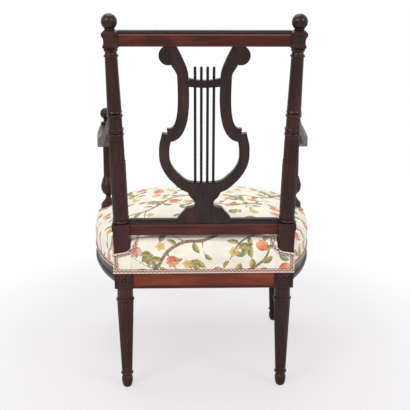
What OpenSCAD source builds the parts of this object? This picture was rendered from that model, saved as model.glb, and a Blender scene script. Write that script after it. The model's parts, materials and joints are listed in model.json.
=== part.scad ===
// Desk armchair with a lyre back, in turned, fluted and polished mahogany with a stuffed seat.
// Millimetres, Z up, the sitter faces -Y, and the origin lies on the floor under the middle of the chair.
// Heights called "along the back" are measured from the top of the seat rails along the raked back.

/* [Seat frame] */
// Height of the underside of the seat rails above the floor
rail_bottom = 273; // [240:1:320]
// Height of the seat rails
rail_h = 45; // [36:1:56]
// Thickness of the rear and front seat rails
rail_t = 28; // [22:1:34]
// Distance between the axes of the rear legs
rear_spread = 399; // [370:1:430]
// Distance from the side of the seat frame to the axis of a front leg
front_inset = 72; // [60:1:85]
// Distance from the rear leg axes to the front leg axes
leg_depth = 452; // [430:1:470]
// Width of the seat frame over the side rails
seat_w = 620; // [590:1:650]
// Distance from the front leg axes to the front face of the front rail
seat_overhang = 53; // [40:1:65]
// Turn of the front dies towards the corners, in degrees
front_turn = 30; // [20:1:38]
// How far the bead along the foot of the seat rails stands proud
rail_bead = 4; // [2:0.5:6]

/* [Legs] */
// Width of the square dies above the legs
die_w = 47; // [42:1:50]
// Diameter of the fluted shaft under its collar
shaft_top_d = 42; // [36:1:44]
// Diameter of the fluted shaft above the ankle ring
shaft_foot_d = 27; // [22:1:30]
// Diameter of the collar under the neck of the leg
collar_d = 46; // [42:1:50]
// Diameter of the ring at the ankle
ankle_d = 32; // [29:1:38]
// Largest diameter of the acorn foot
foot_d = 29; // [26:1:34]
// Number of flutes round each leg and each column
flutes = 12; // [8:1:14]

/* [Back] */
// Rake of the back, in degrees
rake = 8; // [5:0.5:12]
// Outward lean of each post, in degrees
splay = 1; // [0:0.25:2]
// How much further out each post stands than its leg, at the top of the seat rails
post_shift = 1.5; // [0:0.5:6]
// Length of the posts along the back
post_len = 583; // [540:1:640]
// Width of the square pedestals of the posts
pedestal_w = 40; // [34:1:44]
// Height of the pedestals along the back
pedestal_h = 126; // [110:1:132]
// Diameter of the columns above the pedestals
column_d = 38; // [32:1:40]
// Diameter of the columns under their top rings
column_top_d = 29; // [24:1:32]
// Height of the lower of the two arm rings along the back
arm_ring_at = 343; // [325:1:360]
// Length of the plain zone between the two arm rings, where the arm is tenoned in
arm_zone = 24; // [20:1:30]
// Width of the coved dies at the top of the posts
top_die_w = 35.5; // [32:0.5:40]
// Height of the coved dies
top_die_h = 44; // [42:1:50]
// Diameter of the ball finials
finial_d = 36; // [30:1:40]
// Thickness of the crest rail
crest_t = 22; // [18:1:26]
// Height of the crest rail
crest_h = 35; // [30:1:36]
// Height of the underside of the lower back rail along the back
low_rail_at = 96; // [85:1:105]
// Height of the lower back rail
low_rail_h = 39; // [32:1:46]
// Thickness of the lower back rail
low_rail_t = 24; // [20:1:28]

/* [Lyre] */
// Width of the lyre over its bowl
lyre_w = 213; // [190:1:225]
// Thickness of the lyre board
lyre_t = 20; // [16:1:22]
// Number of strings
strings = 4; // [3:1:5]
// Distance between the strings
string_pitch = 14.4; // [12:0.2:15]
// Diameter of the strings
string_d = 6.4; // [4:0.2:7]

/* [Arms] */
// Distance from the side of the seat frame to the axis of an arm support
support_inset = 32.5; // [30:0.5:44]
// Distance from the front leg axes back to the arm support axes
support_back = 107; // [90:1:125]
// Height of the top of the arms over their supports
arm_top = 650; // [630:1:670]
// Thickness of the arms
arm_t = 24; // [20:1:28]
// Width of the arms
arm_w = 31; // [28:1:36]
// Diameter of the ball finials of the arms
arm_ball_d = 33; // [26:1:36]
// Largest diameter of the turned arm supports
support_d = 41; // [36:1:44]

/* [Seat] */
// Height of the rolled edge of the seat above the rails, at the rear
edge_rear = 86; // [80:1:88]
// Height of the rolled edge of the seat above the rails, at the front
edge_front = 124; // [112:1:132]
// How much lower the edge of the seat lies at its sides
side_drop = 30; // [20:1:36]
// Rise of the crown of the seat above its edge
crown = 24; // [16:1:32]
// Thickness of the cover cloth
cloth_t = 2; // [1.5:0.1:3]
// Height of the gimp braid
gimp_h = 10; // [8:0.5:12]
// Thickness of the gimp braid
gimp_t = 1.5; // [1:0.1:2]
// Number of webbing strips from front to rear
webs_long = 5; // [3:1:6]
// Number of webbing strips from side to side
webs_cross = 5; // [3:1:6]

/* [Hidden] */
$fn = 40;

mahogany = "#4a2a26";
dark_mahogany = "#3a2422";
red_mahogany = "#6b3024";
ebonised = "#1d1716";
beech = "#b48a5c";
steel = "#8d8d90";
jute = "#b79a68";
cream = "#efe6d0";
rose = "#e0bfb2";
wool = "#d9cdb0";

// Small values that several pieces share
eps = 0.5;
seat_gap = 0.2;
tenon_len = 16;
tenon_t = 10;
tenon_rim = 6;
fillet = 3;

rail_top = rail_bottom + rail_h;
die_half = die_w / 2;
rear_x = rear_spread / 2;
seat_half = seat_w / 2;
front_x = seat_half - front_inset;
seat_depth = leg_depth + seat_overhang;
post_spread = rear_spread + 2 * post_shift;
support_x = seat_half - support_inset;
support_depth = leg_depth - support_back;

// The origin's Y: half way between the front of the seat and the rearmost corner of the top dies
back_reach = post_len * sin(rake) + top_die_w / 2 * cos(rake);
front_reach = seat_depth + gimp_t + cloth_t;
rear_y = (front_reach - back_reach) / 2;

// Curves: a smooth line through points, an edge beside it, and the closed band between two edges
function between(a, b, t) = a + (b - a) * t;
function flip(list) = [for (i = [len(list) - 1:-1:0]) list[i]];
function bend(a, b, c, d, t) = 0.5 * (2 * b + (c - a) * t + (2 * a - 5 * b + 4 * c - d) * t * t
    + (3 * b - a - 3 * c + d) * t * t * t);
function smooth(points, steps) = concat(
    [for (i = [0:len(points) - 2], j = [0:steps - 1]) let (last = len(points) - 1)
        bend(points[max(i - 1, 0)], points[i], points[i + 1], points[min(i + 2, last)], j / steps)],
    [points[len(points) - 1]]);
function along(points, i) = let (
    a = points[max(i - 1, 0)], b = points[min(i + 1, len(points) - 1)], run = [b.x - a.x, b.y - a.y])
    run / norm(run);
function beside(points, reach, inset) = [for (i = [0:len(points) - 1]) let (
    dir = along(points, i), out = reach * (points[i].z - inset))
    [points[i].x - dir.y * out, points[i].y + dir.x * out]];
function shifted(points, by) = [for (i = [0:len(points) - 1]) let (dir = along(points, i))
    [points[i].x - dir.y * by, points[i].y + dir.x * by]];
function scaled(shares, unit_x, unit_y, unit_z) = [for (p = shares)
    [p.x * unit_x, p.y * unit_y, p.z * unit_z]];
function flat(points) = [for (p = points) [p.x, p.y]];
function arc(centre, radius, from, to, steps) = [for (i = [0:steps])
    centre + radius * [cos(from + (to - from) * i / steps), sin(from + (to - from) * i / steps)]];

module band(points, inset = 0) {
    polygon(concat(beside(points, 1, inset), flip(beside(points, -1, inset))));
}

// Frames: the seat's own frame over the rear leg axes, and the raked back
module from_rear() {
    translate([0, rear_y, 0]) children();
}

module on_back() {
    translate([0, rear_y, rail_top]) rotate([-rake, 0, 0]) children();
}

module both_sides() {
    children();
    mirror([1, 0, 0]) children();
}

module post_axis() {
    translate([post_spread / 2, 0, 0]) rotate([0, splay, 0]) children();
}

function post_x(height) = post_spread / 2 + height * tan(splay);

// Fluting: round grooves with round ends, sunk in a tapering shaft
groove_share = 0.21;
groove_sink_share = 0.5;
cable_share = 0.13;
cable_at_share = 0.885;
pearl_share = 0.155;
usual_flutes = 12;

// A tapering rod with rounded ends, turned in one piece
round_share = 0.7;

module tapered_rod(low, high, low_r, high_r, at_share, rod_share) {
    lean = atan((high_r - low_r) * at_share / (high - low));
    run = (high - low) / cos(lean);
    start = low_r * rod_share;
    end = high_r * rod_share;
    translate([low_r * at_share, 0, low]) rotate([0, lean, 0]) rotate_extrude() polygon([
        [0, -start], [start * round_share, -start * round_share], [start, 0],
        [end, run], [end * round_share, run + end * round_share], [0, run + end]]);
}

module around() {
    for (i = [0:flutes - 1]) rotate([0, 0, i * 360 / flutes]) children();
}

module grooves(low, high, low_r, high_r) {
    width_share = groove_share * usual_flutes / flutes;
    around() tapered_rod(low, high, low_r, high_r, 1 + width_share * groove_sink_share, width_share);
}

// Leg: acorn foot, ankle ring, fluted shaft, collar, neck and die
foot_h = 33;
foot_shares = [[0.56, 0], [0.76, 0.08], [0.90, 0.28], [0.98, 0.50], [1, 0.66], [0.95, 0.82], [0.80, 0.94],
    [0.70, 1]];
ankle_h = 8;
ankle_gap = 1.5;
neck_h = 29;
neck_d = 40;
collar_h = 9;
shaft_low = foot_h + ankle_gap + ankle_h + ankle_gap;
shaft_high = rail_bottom - neck_h - collar_h;
flute_margin = 9;

// Corners along the round of a wide ring, a common ring and a small one
wide_steps = 6;
ring_steps = 5;
small_steps = 4;

function ring_profile(radius, low, height, steps) = let (round_r = height / 2)
    arc([radius - round_r, low + round_r], round_r, -90, 90, steps);

leg_profile = concat(
    [[0, 0]], [for (p = foot_shares) [p.x * foot_d / 2, p.y * foot_h]],
    [[shaft_foot_d / 2 - fillet, foot_h + ankle_gap]],
    ring_profile(ankle_d / 2, foot_h + ankle_gap, ankle_h, wide_steps),
    [[shaft_foot_d / 2, shaft_low - ankle_gap], [shaft_foot_d / 2, shaft_low], [shaft_top_d / 2, shaft_high]],
    ring_profile(collar_d / 2, shaft_high, collar_h, wide_steps),
    [[neck_d / 2, shaft_high + collar_h], [neck_d / 2, rail_bottom - fillet],
     [neck_d / 2 + fillet, rail_bottom], [neck_d / 2 + fillet, rail_bottom + fillet],
     [0, rail_bottom + fillet]]);

module turned_leg() {
    difference() {
        rotate_extrude() polygon(leg_profile);
        grooves(shaft_low + flute_margin, shaft_high - flute_margin, shaft_foot_d / 2, shaft_top_d / 2);
    }
}

module die() {
    translate([-die_half, -die_half, rail_bottom]) cube([die_w, die_w, rail_h]);
}

// Carved rosette: a ring, a boss and a wreath of petals, on a face that looks along +Y
rosette_d = 39;
rosette_ring = 2.4;
rosette_boss = 5;
petals = 8;

module rosette() {
    translate([0, die_half, rail_bottom + (rail_h - gimp_h / 2) / 2]) rotate([-90, 0, 0]) {
        rotate_extrude() translate([rosette_d / 2 - rosette_ring, 0]) circle(r = rosette_ring / 2);
        sphere(r = rosette_boss);
        for (i = [0:petals - 1]) rotate([0, 0, i * 360 / petals])
            translate([rosette_d * 0.27, 0, -rosette_boss / 2]) sphere(r = rosette_boss);
    }
}

// Tenon of a rail: a tongue into a die from the die's -X face
module tenon(grow, shift) {
    translate([-die_half - tenon_rim, shift - tenon_t / 2 - grow, rail_bottom + tenon_rim - grow])
        cube([tenon_rim + tenon_len + grow, tenon_t + 2 * grow, rail_h - 2 * tenon_rim + 2 * grow]);
}

// Places of the legs and of the rails' tenons on the right side
rear_face = die_half - fillet;

module at_rear_leg() {
    translate([rear_x, 0, 0]) children();
}

module at_front_leg() {
    translate([front_x, -leg_depth, 0]) rotate([0, 0, front_turn]) children();
}

module rear_rail_tenon(grow = 0) {
    at_rear_leg() tenon(grow, rear_face - rail_t / 2);
}

module side_rail_tenons(grow = 0) {
    at_rear_leg() rotate([0, 0, 90]) tenon(grow, rear_x - (side_line[0].x + side_inner[0].x) / 2);
    at_front_leg() mirror([1, 0, 0]) tenon(grow, 0);
}

module front_rail_tenon(grow = 0) {
    at_front_leg() tenon(grow, 0);
}

// Back post, on the right: leg, die, pedestal, cabled and fluted column, rings and coved die
column_collar_h = 15;
column_collar_d = 42;
column_foot = pedestal_h + column_collar_h;
collar_round = 0.55 * column_collar_h;
collar_bead = 0.4 * column_collar_h;
arm_ring_h = 19;
arm_ring_d = 39;
arm_ring_low = 0.35 * arm_ring_h;
arm_ring_hollow = arm_ring_at + 0.4 * arm_ring_h;
arm_ring_high = 0.3 * arm_ring_h;
arm_ring_top = arm_ring_at + arm_ring_h;
arm_zone_d = 33;
upper_ring_h = 13;
upper_ring_d = 38;
upper_ring_round = 0.7 * upper_ring_h;
upper_column_d = 33.5;
upper_foot = arm_ring_top + arm_zone + upper_ring_h;
cap_neck_h = 9;
cap_neck_d = 26;
cap_ring_h = 6;
cap_ring_d = 34;
pedestal_cap_h = 17;
cap_proud = 1.5;
top_die_low = post_len - top_die_h;
cap_ring_low = top_die_low - cap_neck_h - cap_ring_h;
cable_top_share = 0.67;
spigot_d = 12;
spigot_len = 14;
arm_joint_at = arm_ring_top + arm_zone / 2;

column_profile = concat(
    [[0, pedestal_h - fillet], [column_d / 2, pedestal_h - fillet], [column_d / 2, pedestal_h]],
    ring_profile(column_collar_d / 2, pedestal_h, collar_round, ring_steps),
    [[column_d / 2, column_foot - collar_bead]],
    ring_profile(column_d / 2 + fillet / 2, column_foot - collar_bead, collar_bead, small_steps),
    [[column_d / 2, column_foot], [column_d / 2 - fillet / 2, arm_ring_at]],
    ring_profile(arm_ring_d / 2, arm_ring_at, arm_ring_low, small_steps),
    [[arm_ring_d / 2 - fillet / 2, arm_ring_hollow],
     [arm_ring_d / 2 - fillet / 2, arm_ring_top - arm_ring_high]],
    ring_profile(arm_ring_d / 2, arm_ring_top - arm_ring_high, arm_ring_high, small_steps),
    [[arm_zone_d / 2, arm_ring_top], [arm_zone_d / 2, arm_ring_top + arm_zone]],
    ring_profile(upper_ring_d / 2, arm_ring_top + arm_zone, upper_ring_round, ring_steps),
    [[upper_column_d / 2 + fillet / 2, upper_foot], [upper_column_d / 2, upper_foot + fillet],
     [column_top_d / 2, cap_ring_low]],
    ring_profile(cap_ring_d / 2, cap_ring_low, cap_ring_h, ring_steps),
    [[cap_neck_d / 2 + fillet / 2, top_die_low - cap_neck_h], [cap_neck_d / 2, top_die_low - cap_neck_h / 2],
     [cap_neck_d / 2 + fillet, top_die_low], [cap_neck_d / 2 + fillet, top_die_low + fillet],
     [0, top_die_low + fillet]]);

module column() {
    difference() {
        rotate_extrude() polygon(column_profile);
        grooves(column_foot + flute_margin, arm_ring_at - flute_margin,
            column_d / 2, column_d / 2 - fillet / 2);
    }
    cable_top = column_foot + (arm_ring_at - column_foot) * cable_top_share;
    around() {
        tapered_rod(column_foot + flute_margin, cable_top, column_d / 2, column_d / 2,
            cable_at_share, cable_share);
        translate([column_d / 2 * cable_at_share, 0, cable_top + column_d * cable_share])
            sphere(r = column_d / 2 * pearl_share);
    }
}

// The top die: a block with sloping cap and foot and a cove between, whose inner face stays flat for the
// crest rail. Its outline is given as shares of the half width and of the height.
die_out_shares = [[0.55, 0], [0.80, 0.13], [0.92, 0.13], [0.92, 0.24], [0.84, 0.29], [0.79, 0.38],
    [0.78, 0.48], [0.81, 0.58], [0.88, 0.67], [1, 0.73], [1, 0.83], [0.97, 0.88], [0.68, 1]];
die_in_shares = [[0.55, 0], [0.80, 0.13], [1, 0.13], [1, 0.86], [0.68, 1]];

module die_outline(left_shares, right_shares) {
    polygon(concat([for (p = right_shares) [p.x * top_die_w / 2, top_die_low + p.y * top_die_h]],
        flip([for (p = left_shares) [-p.x * top_die_w / 2, top_die_low + p.y * top_die_h]])));
}

module top_die() {
    intersection() {
        rotate([90, 0, 0]) linear_extrude(2 * top_die_w, center = true)
            die_outline(die_in_shares, die_out_shares);
        rotate([90, 0, 90]) linear_extrude(2 * top_die_w, center = true)
            die_outline(die_out_shares, die_out_shares);
    }
}

module arm_spigot(grow = 0) {
    post_axis() translate([0, 0, arm_joint_at]) rotate([90, 0, 0]) {
        translate([0, 0, arm_zone_d / 2 - spigot_len])
            cylinder(h = spigot_len + fillet + grow, d = spigot_d + 2 * grow);
    }
}

// The crest's tenon ends short of the finial's spigot
module crest_tenon(grow = 0) {
    reach = (top_die_w - spigot_d - fillet) / 2;
    post_axis()
        translate([-top_die_w / 2 - tenon_rim, -tenon_t / 2 - grow, post_len - crest_h + tenon_rim - grow])
        cube([tenon_rim + reach + grow, tenon_t + 2 * grow, crest_h - 2 * tenon_rim + 2 * grow]);
}

module low_rail_tenon(grow = 0) {
    post_axis() translate([-pedestal_w / 2 - tenon_rim, -tenon_t / 2 - grow, low_rail_at + tenon_rim - grow])
        cube([tenon_rim + tenon_len, tenon_t + 2 * grow, low_rail_h - 2 * tenon_rim + 2 * grow]);
}

finial_spigot_len = 18;

// The pedestal under the column, with a cap a little wider than itself
module pedestal() {
    cap_w = pedestal_w + 2 * cap_proud;
    translate([-pedestal_w / 2, -pedestal_w / 2, -fillet]) cube([pedestal_w, pedestal_w, pedestal_h]);
    translate([-cap_w / 2, -cap_w / 2, pedestal_h - pedestal_cap_h]) cube([cap_w, cap_w, pedestal_cap_h]);
}

module rear_post() {
    color(mahogany) {
        from_rear() difference() {
            at_rear_leg() {
                turned_leg();
                die();
                rosette();
            }
            rear_rail_tenon(seat_gap);
            side_rail_tenons(seat_gap);
        }
        on_back() difference() {
            post_axis() {
                pedestal();
                column();
                top_die();
            }
            crest_tenon(seat_gap);
            low_rail_tenon(seat_gap);
            arm_spigot(seat_gap);
            post_axis() translate([0, 0, post_len - finial_spigot_len - seat_gap])
                cylinder(h = finial_spigot_len + eps, d = spigot_d + 2 * seat_gap);
        }
    }
}

module rear_post_left() mirror([1, 0, 0]) rear_post();
module rear_post_right() rear_post();

// Ball finial with its collar and spigot
finial_collar_d = 24;
finial_collar_h = 4;
ball_sink = 4;

module back_finial() {
    color(dark_mahogany) on_back() post_axis() translate([0, 0, post_len]) {
        translate([0, 0, -finial_spigot_len]) cylinder(h = finial_spigot_len + eps, d = spigot_d);
        rotate_extrude() polygon(concat([[0, 0]],
            ring_profile(finial_collar_d / 2, 0, finial_collar_h, ring_steps), [[0, finial_collar_h]]));
        translate([0, 0, finial_collar_h + finial_d / 2 - ball_sink]) sphere(d = finial_d);
    }
}

module back_finial_left() mirror([1, 0, 0]) back_finial();
module back_finial_right() back_finial();

module front_leg() {
    color(mahogany) from_rear() difference() {
        at_front_leg() {
            turned_leg();
            die();
            mirror([0, 1, 0]) rosette();
        }
        side_rail_tenons(seat_gap);
        front_rail_tenon(seat_gap);
    }
}

module front_leg_left() mirror([1, 0, 0]) front_leg();
module front_leg_right() front_leg();

// Plan of the seat frame on the right side. Points run from the rear die to the widest place, on to the front
// die, and to the middle of the front rail, as shares of the way across and of the way forward.
side_rear_shares = [[0, 0.049], [0.160, 0.111], [0.318, 0.174], [0.470, 0.244], [0.634, 0.343],
    [0.778, 0.442], [0.900, 0.553], [0.976, 0.664], [1, 0.752]];
side_front_shares = [[0.957, 0.851], [0.807, 0.941], [0.500, 1.007], [0.030, 1.033]];
front_shares = [[0.780, 0.530], [0.404, 0.895], [0, 1]];
side_inner_shares = [[0, 0.049], [0.480, 0.224], [0.866, 0.469], [1, 0.670], [0.950, 0.850], [0.865, 0.927],
    [0.740, 0.972]];
line_steps = 3;
side_t = 33;
stub_d = 26;
stub_rim = 11.5;
rail_start = rear_x + die_half;
inner_start = rail_start - side_t;
inner_reach = support_x - stub_d / 2 - stub_rim;

side_points = concat(
    [for (p = side_rear_shares) [between(rail_start, seat_half, p.x), -p.y * leg_depth, 0]],
    [for (p = side_front_shares) [between(front_x, seat_half, p.x), -p.y * leg_depth, 0]]);
front_start = side_points[len(side_points) - 1];
front_points = [for (p = front_shares) [p.x * front_x, between(front_start.y, -seat_depth, p.y), 0]];
inner_points = [for (p = side_inner_shares) [between(inner_start, inner_reach, p.x), -p.y * leg_depth, 0]];

function both_halves(line) = concat(flat(line), [for (i = [len(line) - 2:-1:0]) [-line[i].x, line[i].y]]);

side_line = smooth(side_points, line_steps);
side_inner = smooth(inner_points, line_steps);
front_edge = both_halves(smooth(concat([front_start], front_points), line_steps));
rim = both_halves(smooth(concat(side_points, front_points), line_steps));

module side_plan(proud = 0) {
    polygon(concat(shifted(side_line, proud), flip(flat(side_inner))));
}

module front_plan(proud = 0) {
    polygon(concat(shifted(front_edge, proud), flip(shifted(front_edge, -rail_t))));
}

// What the dies take out of the rails, with the bead in front of a front die's carved face
module die_room(reach = 0) {
    translate([-die_half, -die_half - reach, rail_bottom - eps])
        cube([die_w, die_w + reach, rail_h + 2 * eps]);
}

module front_die_room() {
    at_front_leg() die_room(die_half);
}

bead_h = 18;
bead_shares = [[0, 0.13, -0.45], [0.13, 0.30, 0.5], [0.30, 0.74, 1], [0.74, 0.90, 0.6], [0.90, 1, 0.2]];

// A rail from its plan, in layers: a rounded bead along the foot, and the plain face above it
module rail_layer(low, high, proud) {
    $proud = proud;
    translate([0, 0, rail_bottom + low]) linear_extrude(high - low) children();
}

module beaded_rail() {
    for (step = bead_shares) rail_layer(step[0] * bead_h, step[1] * bead_h, step[2] * rail_bead) children();
    rail_layer(bead_h, rail_h, 0) children();
}

module side_rail() {
    color(mahogany) from_rear() {
        difference() {
            beaded_rail() side_plan($proud);
            at_rear_leg() die_room();
            front_die_room();
            support_spigot(seat_gap);
            block_screws(seat_gap);
        }
        side_rail_tenons();
    }
}

module side_rail_left() mirror([1, 0, 0]) side_rail();
module side_rail_right() side_rail();

module front_rail() {
    color(mahogany) from_rear() {
        difference() {
            beaded_rail() front_plan($proud);
            both_sides() {
                front_die_room();
                block_screws(seat_gap);
            }
        }
        both_sides() front_rail_tenon();
    }
}

rear_bead_h = 5;
rear_bead = 1.5;

module rear_rail() {
    color(red_mahogany) from_rear() {
        difference() {
            union() {
                translate([-rear_x, rear_face - rail_t, rail_bottom]) cube([rear_spread, rail_t, rail_h]);
                translate([-rear_x, rear_face - rail_t, rail_bottom])
                    cube([rear_spread, rail_t + rear_bead, rear_bead_h]);
            }
            both_sides() {
                at_rear_leg() die_room();
                block_screws(seat_gap);
            }
        }
        both_sides() rear_rail_tenon();
    }
}

// Corner blocks, glued in the corners of the seat frame, each with two screws into the rails
block_leg = 62;
block_h = 28;
block_drop = 8;
screw_d = 4;
screw_head_d = 8;
screw_head_h = 3;
screw_len = 33;
rear_inner = rear_face - rail_t;
rear_screw_shares = [[-0.88, -0.395, 90], [-0.05, -1.045, 20]];
front_screw_shares = [[-1.13, -0.05, -90], [0.065, 0.97, 0]];
rear_block_shares = [[-1.36, 0], [0, 0], [0.48, -1.36]];
front_block_shares = [[-1.70, -0.46], [0, 0], [0.44, 1.32]];

module screw_set(grow) {
    rotate([0, 90, 0]) {
        translate([0, 0, -grow]) cylinder(h = screw_len + 2 * grow, d = screw_d + 2 * grow);
        translate([0, 0, -screw_head_h - grow])
            cylinder(h = screw_head_h + grow, d = screw_head_d + 2 * grow);
    }
}

module block_screws(grow = 0) {
    level = rail_bottom + block_drop + block_h / 2;
    for (p = rear_screw_shares)
        translate([rear_x + p.x * block_leg, p.y * block_leg, level]) rotate([0, 0, p.z]) screw_set(grow);
    for (p = front_screw_shares)
        translate([front_x + p.x * block_leg, p.y * block_leg - leg_depth, level]) rotate([0, 0, p.z])
            screw_set(grow);
}

// The way in for a screw's head, open to the inside of the frame
module screw_ways() {
    level = rail_bottom + block_drop + block_h / 2;
    way = screw_head_d + 4 * seat_gap;
    for (p = rear_screw_shares)
        translate([rear_x + p.x * block_leg, p.y * block_leg, level]) rotate([0, 0, p.z]) rotate([0, -90, 0])
            cylinder(h = block_leg, d = way);
    for (p = front_screw_shares)
        translate([front_x + p.x * block_leg, p.y * block_leg - leg_depth, level]) rotate([0, 0, p.z])
            rotate([0, -90, 0]) cylinder(h = block_leg, d = way);
}

module block_body() {
    color(beech) from_rear() difference() {
        translate([0, 0, rail_bottom + block_drop]) linear_extrude(block_h) difference() {
            children();
            side_plan();
            front_plan();
        }
        at_rear_leg() die_room();
        at_front_leg() die_room();
        block_screws(seat_gap);
        screw_ways();
    }
}

module rear_block() {
    block_body() polygon([for (p = rear_block_shares)
        [rear_x + p.x * block_leg, rear_inner + p.y * block_leg]]);
}

module front_block() {
    block_body() polygon([for (p = front_block_shares)
        [front_x + p.x * block_leg, p.y * block_leg - leg_depth]]);
}

module corner_block_rear_left() mirror([1, 0, 0]) rear_block();
module corner_block_rear_right() rear_block();
module corner_block_front_left() mirror([1, 0, 0]) front_block();
module corner_block_front_right() front_block();

module corner_block_screws() {
    color(steel) from_rear() both_sides() block_screws();
}

// Crest rail between the top dies, with a bead along the upper edge of both faces
crest_low = post_len - crest_h;
crest_bead_r = 2.2;
crest_bead_drop = 5;

module between_posts(low, high, width) {
    rotate([90, 0, 0]) linear_extrude(2 * width, center = true) polygon([
        [-post_x(low) + width / 2, low], [post_x(low) - width / 2, low],
        [post_x(high) - width / 2, high], [-post_x(high) + width / 2, high]]);
}

module crest_section() {
    translate([-crest_t / 2, crest_low]) square([crest_t, crest_h - fillet]);
    translate([-crest_t / 2 + fillet, crest_low]) square([crest_t - 2 * fillet, crest_h]);
    for (side = [-1, 1]) {
        translate([side * (crest_t / 2 - fillet), post_len - fillet]) circle(r = fillet);
        translate([side * crest_t / 2, post_len - crest_bead_drop]) circle(r = crest_bead_r);
    }
}

module crest_rail() {
    color(red_mahogany) on_back() {
        difference() {
            intersection() {
                rotate([90, 0, 90]) linear_extrude(post_spread, center = true) crest_section();
                between_posts(crest_low - eps, post_len + eps, top_die_w);
            }
            both_sides() lyre_tenon(seat_gap);
        }
        both_sides() crest_tenon();
    }
}

// Lower back rail: a deep face under a coved ridge, which the foot of the lyre straddles
ridge_h = 11;
ridge_t = 11;
ridge_low = low_rail_at + low_rail_h - ridge_h;

module low_rail_section() {
    cove = (low_rail_t - ridge_t) / 2;
    translate([-low_rail_t / 2, low_rail_at]) square([low_rail_t, low_rail_h - ridge_h]);
    difference() {
        translate([-low_rail_t / 2, low_rail_at]) square([low_rail_t, low_rail_h - ridge_h + cove]);
        for (side = [-1, 1]) translate([side * low_rail_t / 2, ridge_low + cove]) circle(r = cove);
    }
    translate([-ridge_t / 2, low_rail_at]) square([ridge_t, low_rail_h]);
}

module lower_back_rail() {
    color(red_mahogany) on_back() {
        difference() {
            rotate([90, 0, 90]) linear_extrude(post_spread, center = true) low_rail_section();
            both_sides() post_axis() {
                translate([-pedestal_w / 2, -pedestal_w, 0])
                    cube([2 * pedestal_w, 2 * pedestal_w, pedestal_h]);
                translate([-pedestal_w / 2 - cap_proud, -pedestal_w, pedestal_h - pedestal_cap_h])
                    cube([2 * pedestal_w, 2 * pedestal_w, pedestal_cap_h]);
                translate([0, 0, pedestal_h - eps])
                    cylinder(h = low_rail_h, d = column_collar_d + 2 * seat_gap);
                translate([0, -pedestal_w, pedestal_h - eps])
                    cube([2 * pedestal_w, 2 * pedestal_w, low_rail_h]);
            }
        }
        both_sides() low_rail_tenon();
    }
}

// Lyre: every place is a share of its half width, or of its height from its lap on the rail to the crest rail
lyre_half = lyre_w / 2;
lyre_lap = 15;
lyre_low = low_rail_at + low_rail_h - lyre_lap;
lyre_h = crest_low - lyre_low;
lyre_arm_shares = [[0.734, 1.000, 0.128], [0.605, 0.930, 0.142], [0.481, 0.867, 0.123],
    [0.459, 0.813, 0.122], [0.454, 0.703, 0.123], [0.489, 0.617, 0.123], [0.567, 0.560, 0.127],
    [0.680, 0.531, 0.143], [0.802, 0.524, 0.151]];
lyre_bowl_shares = [[0.826, 0.533, 0.105], [0.848, 0.500, 0.115], [0.885, 0.453, 0.116],
    [0.879, 0.381, 0.111], [0.787, 0.325, 0.111], [0.632, 0.278, 0.117], [0.389, 0.232, 0.126],
    [0, 0.216, 0.146]];
lyre_scroll_share = [0.770, 0.953, 0.202];
lyre_foot_shares = [[0, 0.236], [0.389, 0.212], [0.374, 0.195], [0.340, 0.179], [0.300, 0.164],
    [0.243, 0.151], [0.216, 0.140], [0.210, 0.129], [0.220, 0.118], [0.262, 0.110], [0.408, 0.104],
    [0.437, 0.094], [0.486, 0.078], [0.550, 0.062], [0.605, 0.043], [0.624, 0.023], [0.624, 0]];
lyre_steps = 5;
yoke_index = 3;
face_inset = 2.5;
face_t = 3;

lyre_arm = smooth(scaled(lyre_arm_shares, lyre_half, lyre_h, lyre_half), lyre_steps);
lyre_bowl = smooth(scaled(lyre_bowl_shares, lyre_half, lyre_h, lyre_half), lyre_steps);

function foot_half(p, inset) = max(p.x * lyre_half - inset, 0);

module lyre_outline(inset = 0) {
    difference() {
        union() {
            both_sides() {
                band(lyre_arm, inset);
                band(lyre_bowl, inset);
                translate([lyre_scroll_share.x * lyre_half, lyre_scroll_share.y * lyre_h])
                    circle(r = lyre_scroll_share.z * lyre_half - inset);
            }
            polygon(concat([for (p = lyre_foot_shares) [foot_half(p, inset), p.y * lyre_h]],
                flip([for (p = lyre_foot_shares) [-foot_half(p, inset), p.y * lyre_h]])));
        }
        translate([-lyre_w, lyre_h]) square([2 * lyre_w, lyre_h]);
    }
}

lyre_tenon_w = 20;
lyre_tenon_h = 10;

module lyre_tenon(grow = 0) {
    at = lyre_arm_shares[0].x * lyre_half;
    translate([at - lyre_tenon_w / 2 - grow, -tenon_t / 2 - grow, crest_low - eps])
        cube([lyre_tenon_w + 2 * grow, tenon_t + 2 * grow, lyre_tenon_h + eps + grow]);
}

yoke_t = 14;
yoke_h = 17;
yoke_sag = 4;
yoke_pin_d = 7;
yoke_pin_len = 7;
yoke_at = lyre_low + lyre_arm_shares[yoke_index].y * lyre_h;
yoke_half = (lyre_arm_shares[yoke_index].x - lyre_arm_shares[yoke_index].z) * lyre_half;
bowl_foot_share = lyre_bowl_shares[len(lyre_bowl_shares) - 1];
string_foot = lyre_low + bowl_foot_share.y * lyre_h + bowl_foot_share.z * lyre_half;
string_sink = 9;
string_rise = 32;
string_top = yoke_at + string_rise;
string_knob_d = 6.6;

function string_x(i) = (i - (strings - 1) / 2) * string_pitch;

module yoke_pins(grow = 0) {
    translate([0, 0, yoke_at]) rotate([0, 90, 0])
        cylinder(h = 2 * (yoke_half + yoke_pin_len + grow), d = yoke_pin_d + 2 * grow, center = true);
}

module string_rod(i, grow = 0) {
    translate([string_x(i), 0, string_foot - string_sink - grow])
        cylinder(h = string_top - string_foot + string_sink + grow, d = string_d + 2 * grow);
}

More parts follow.
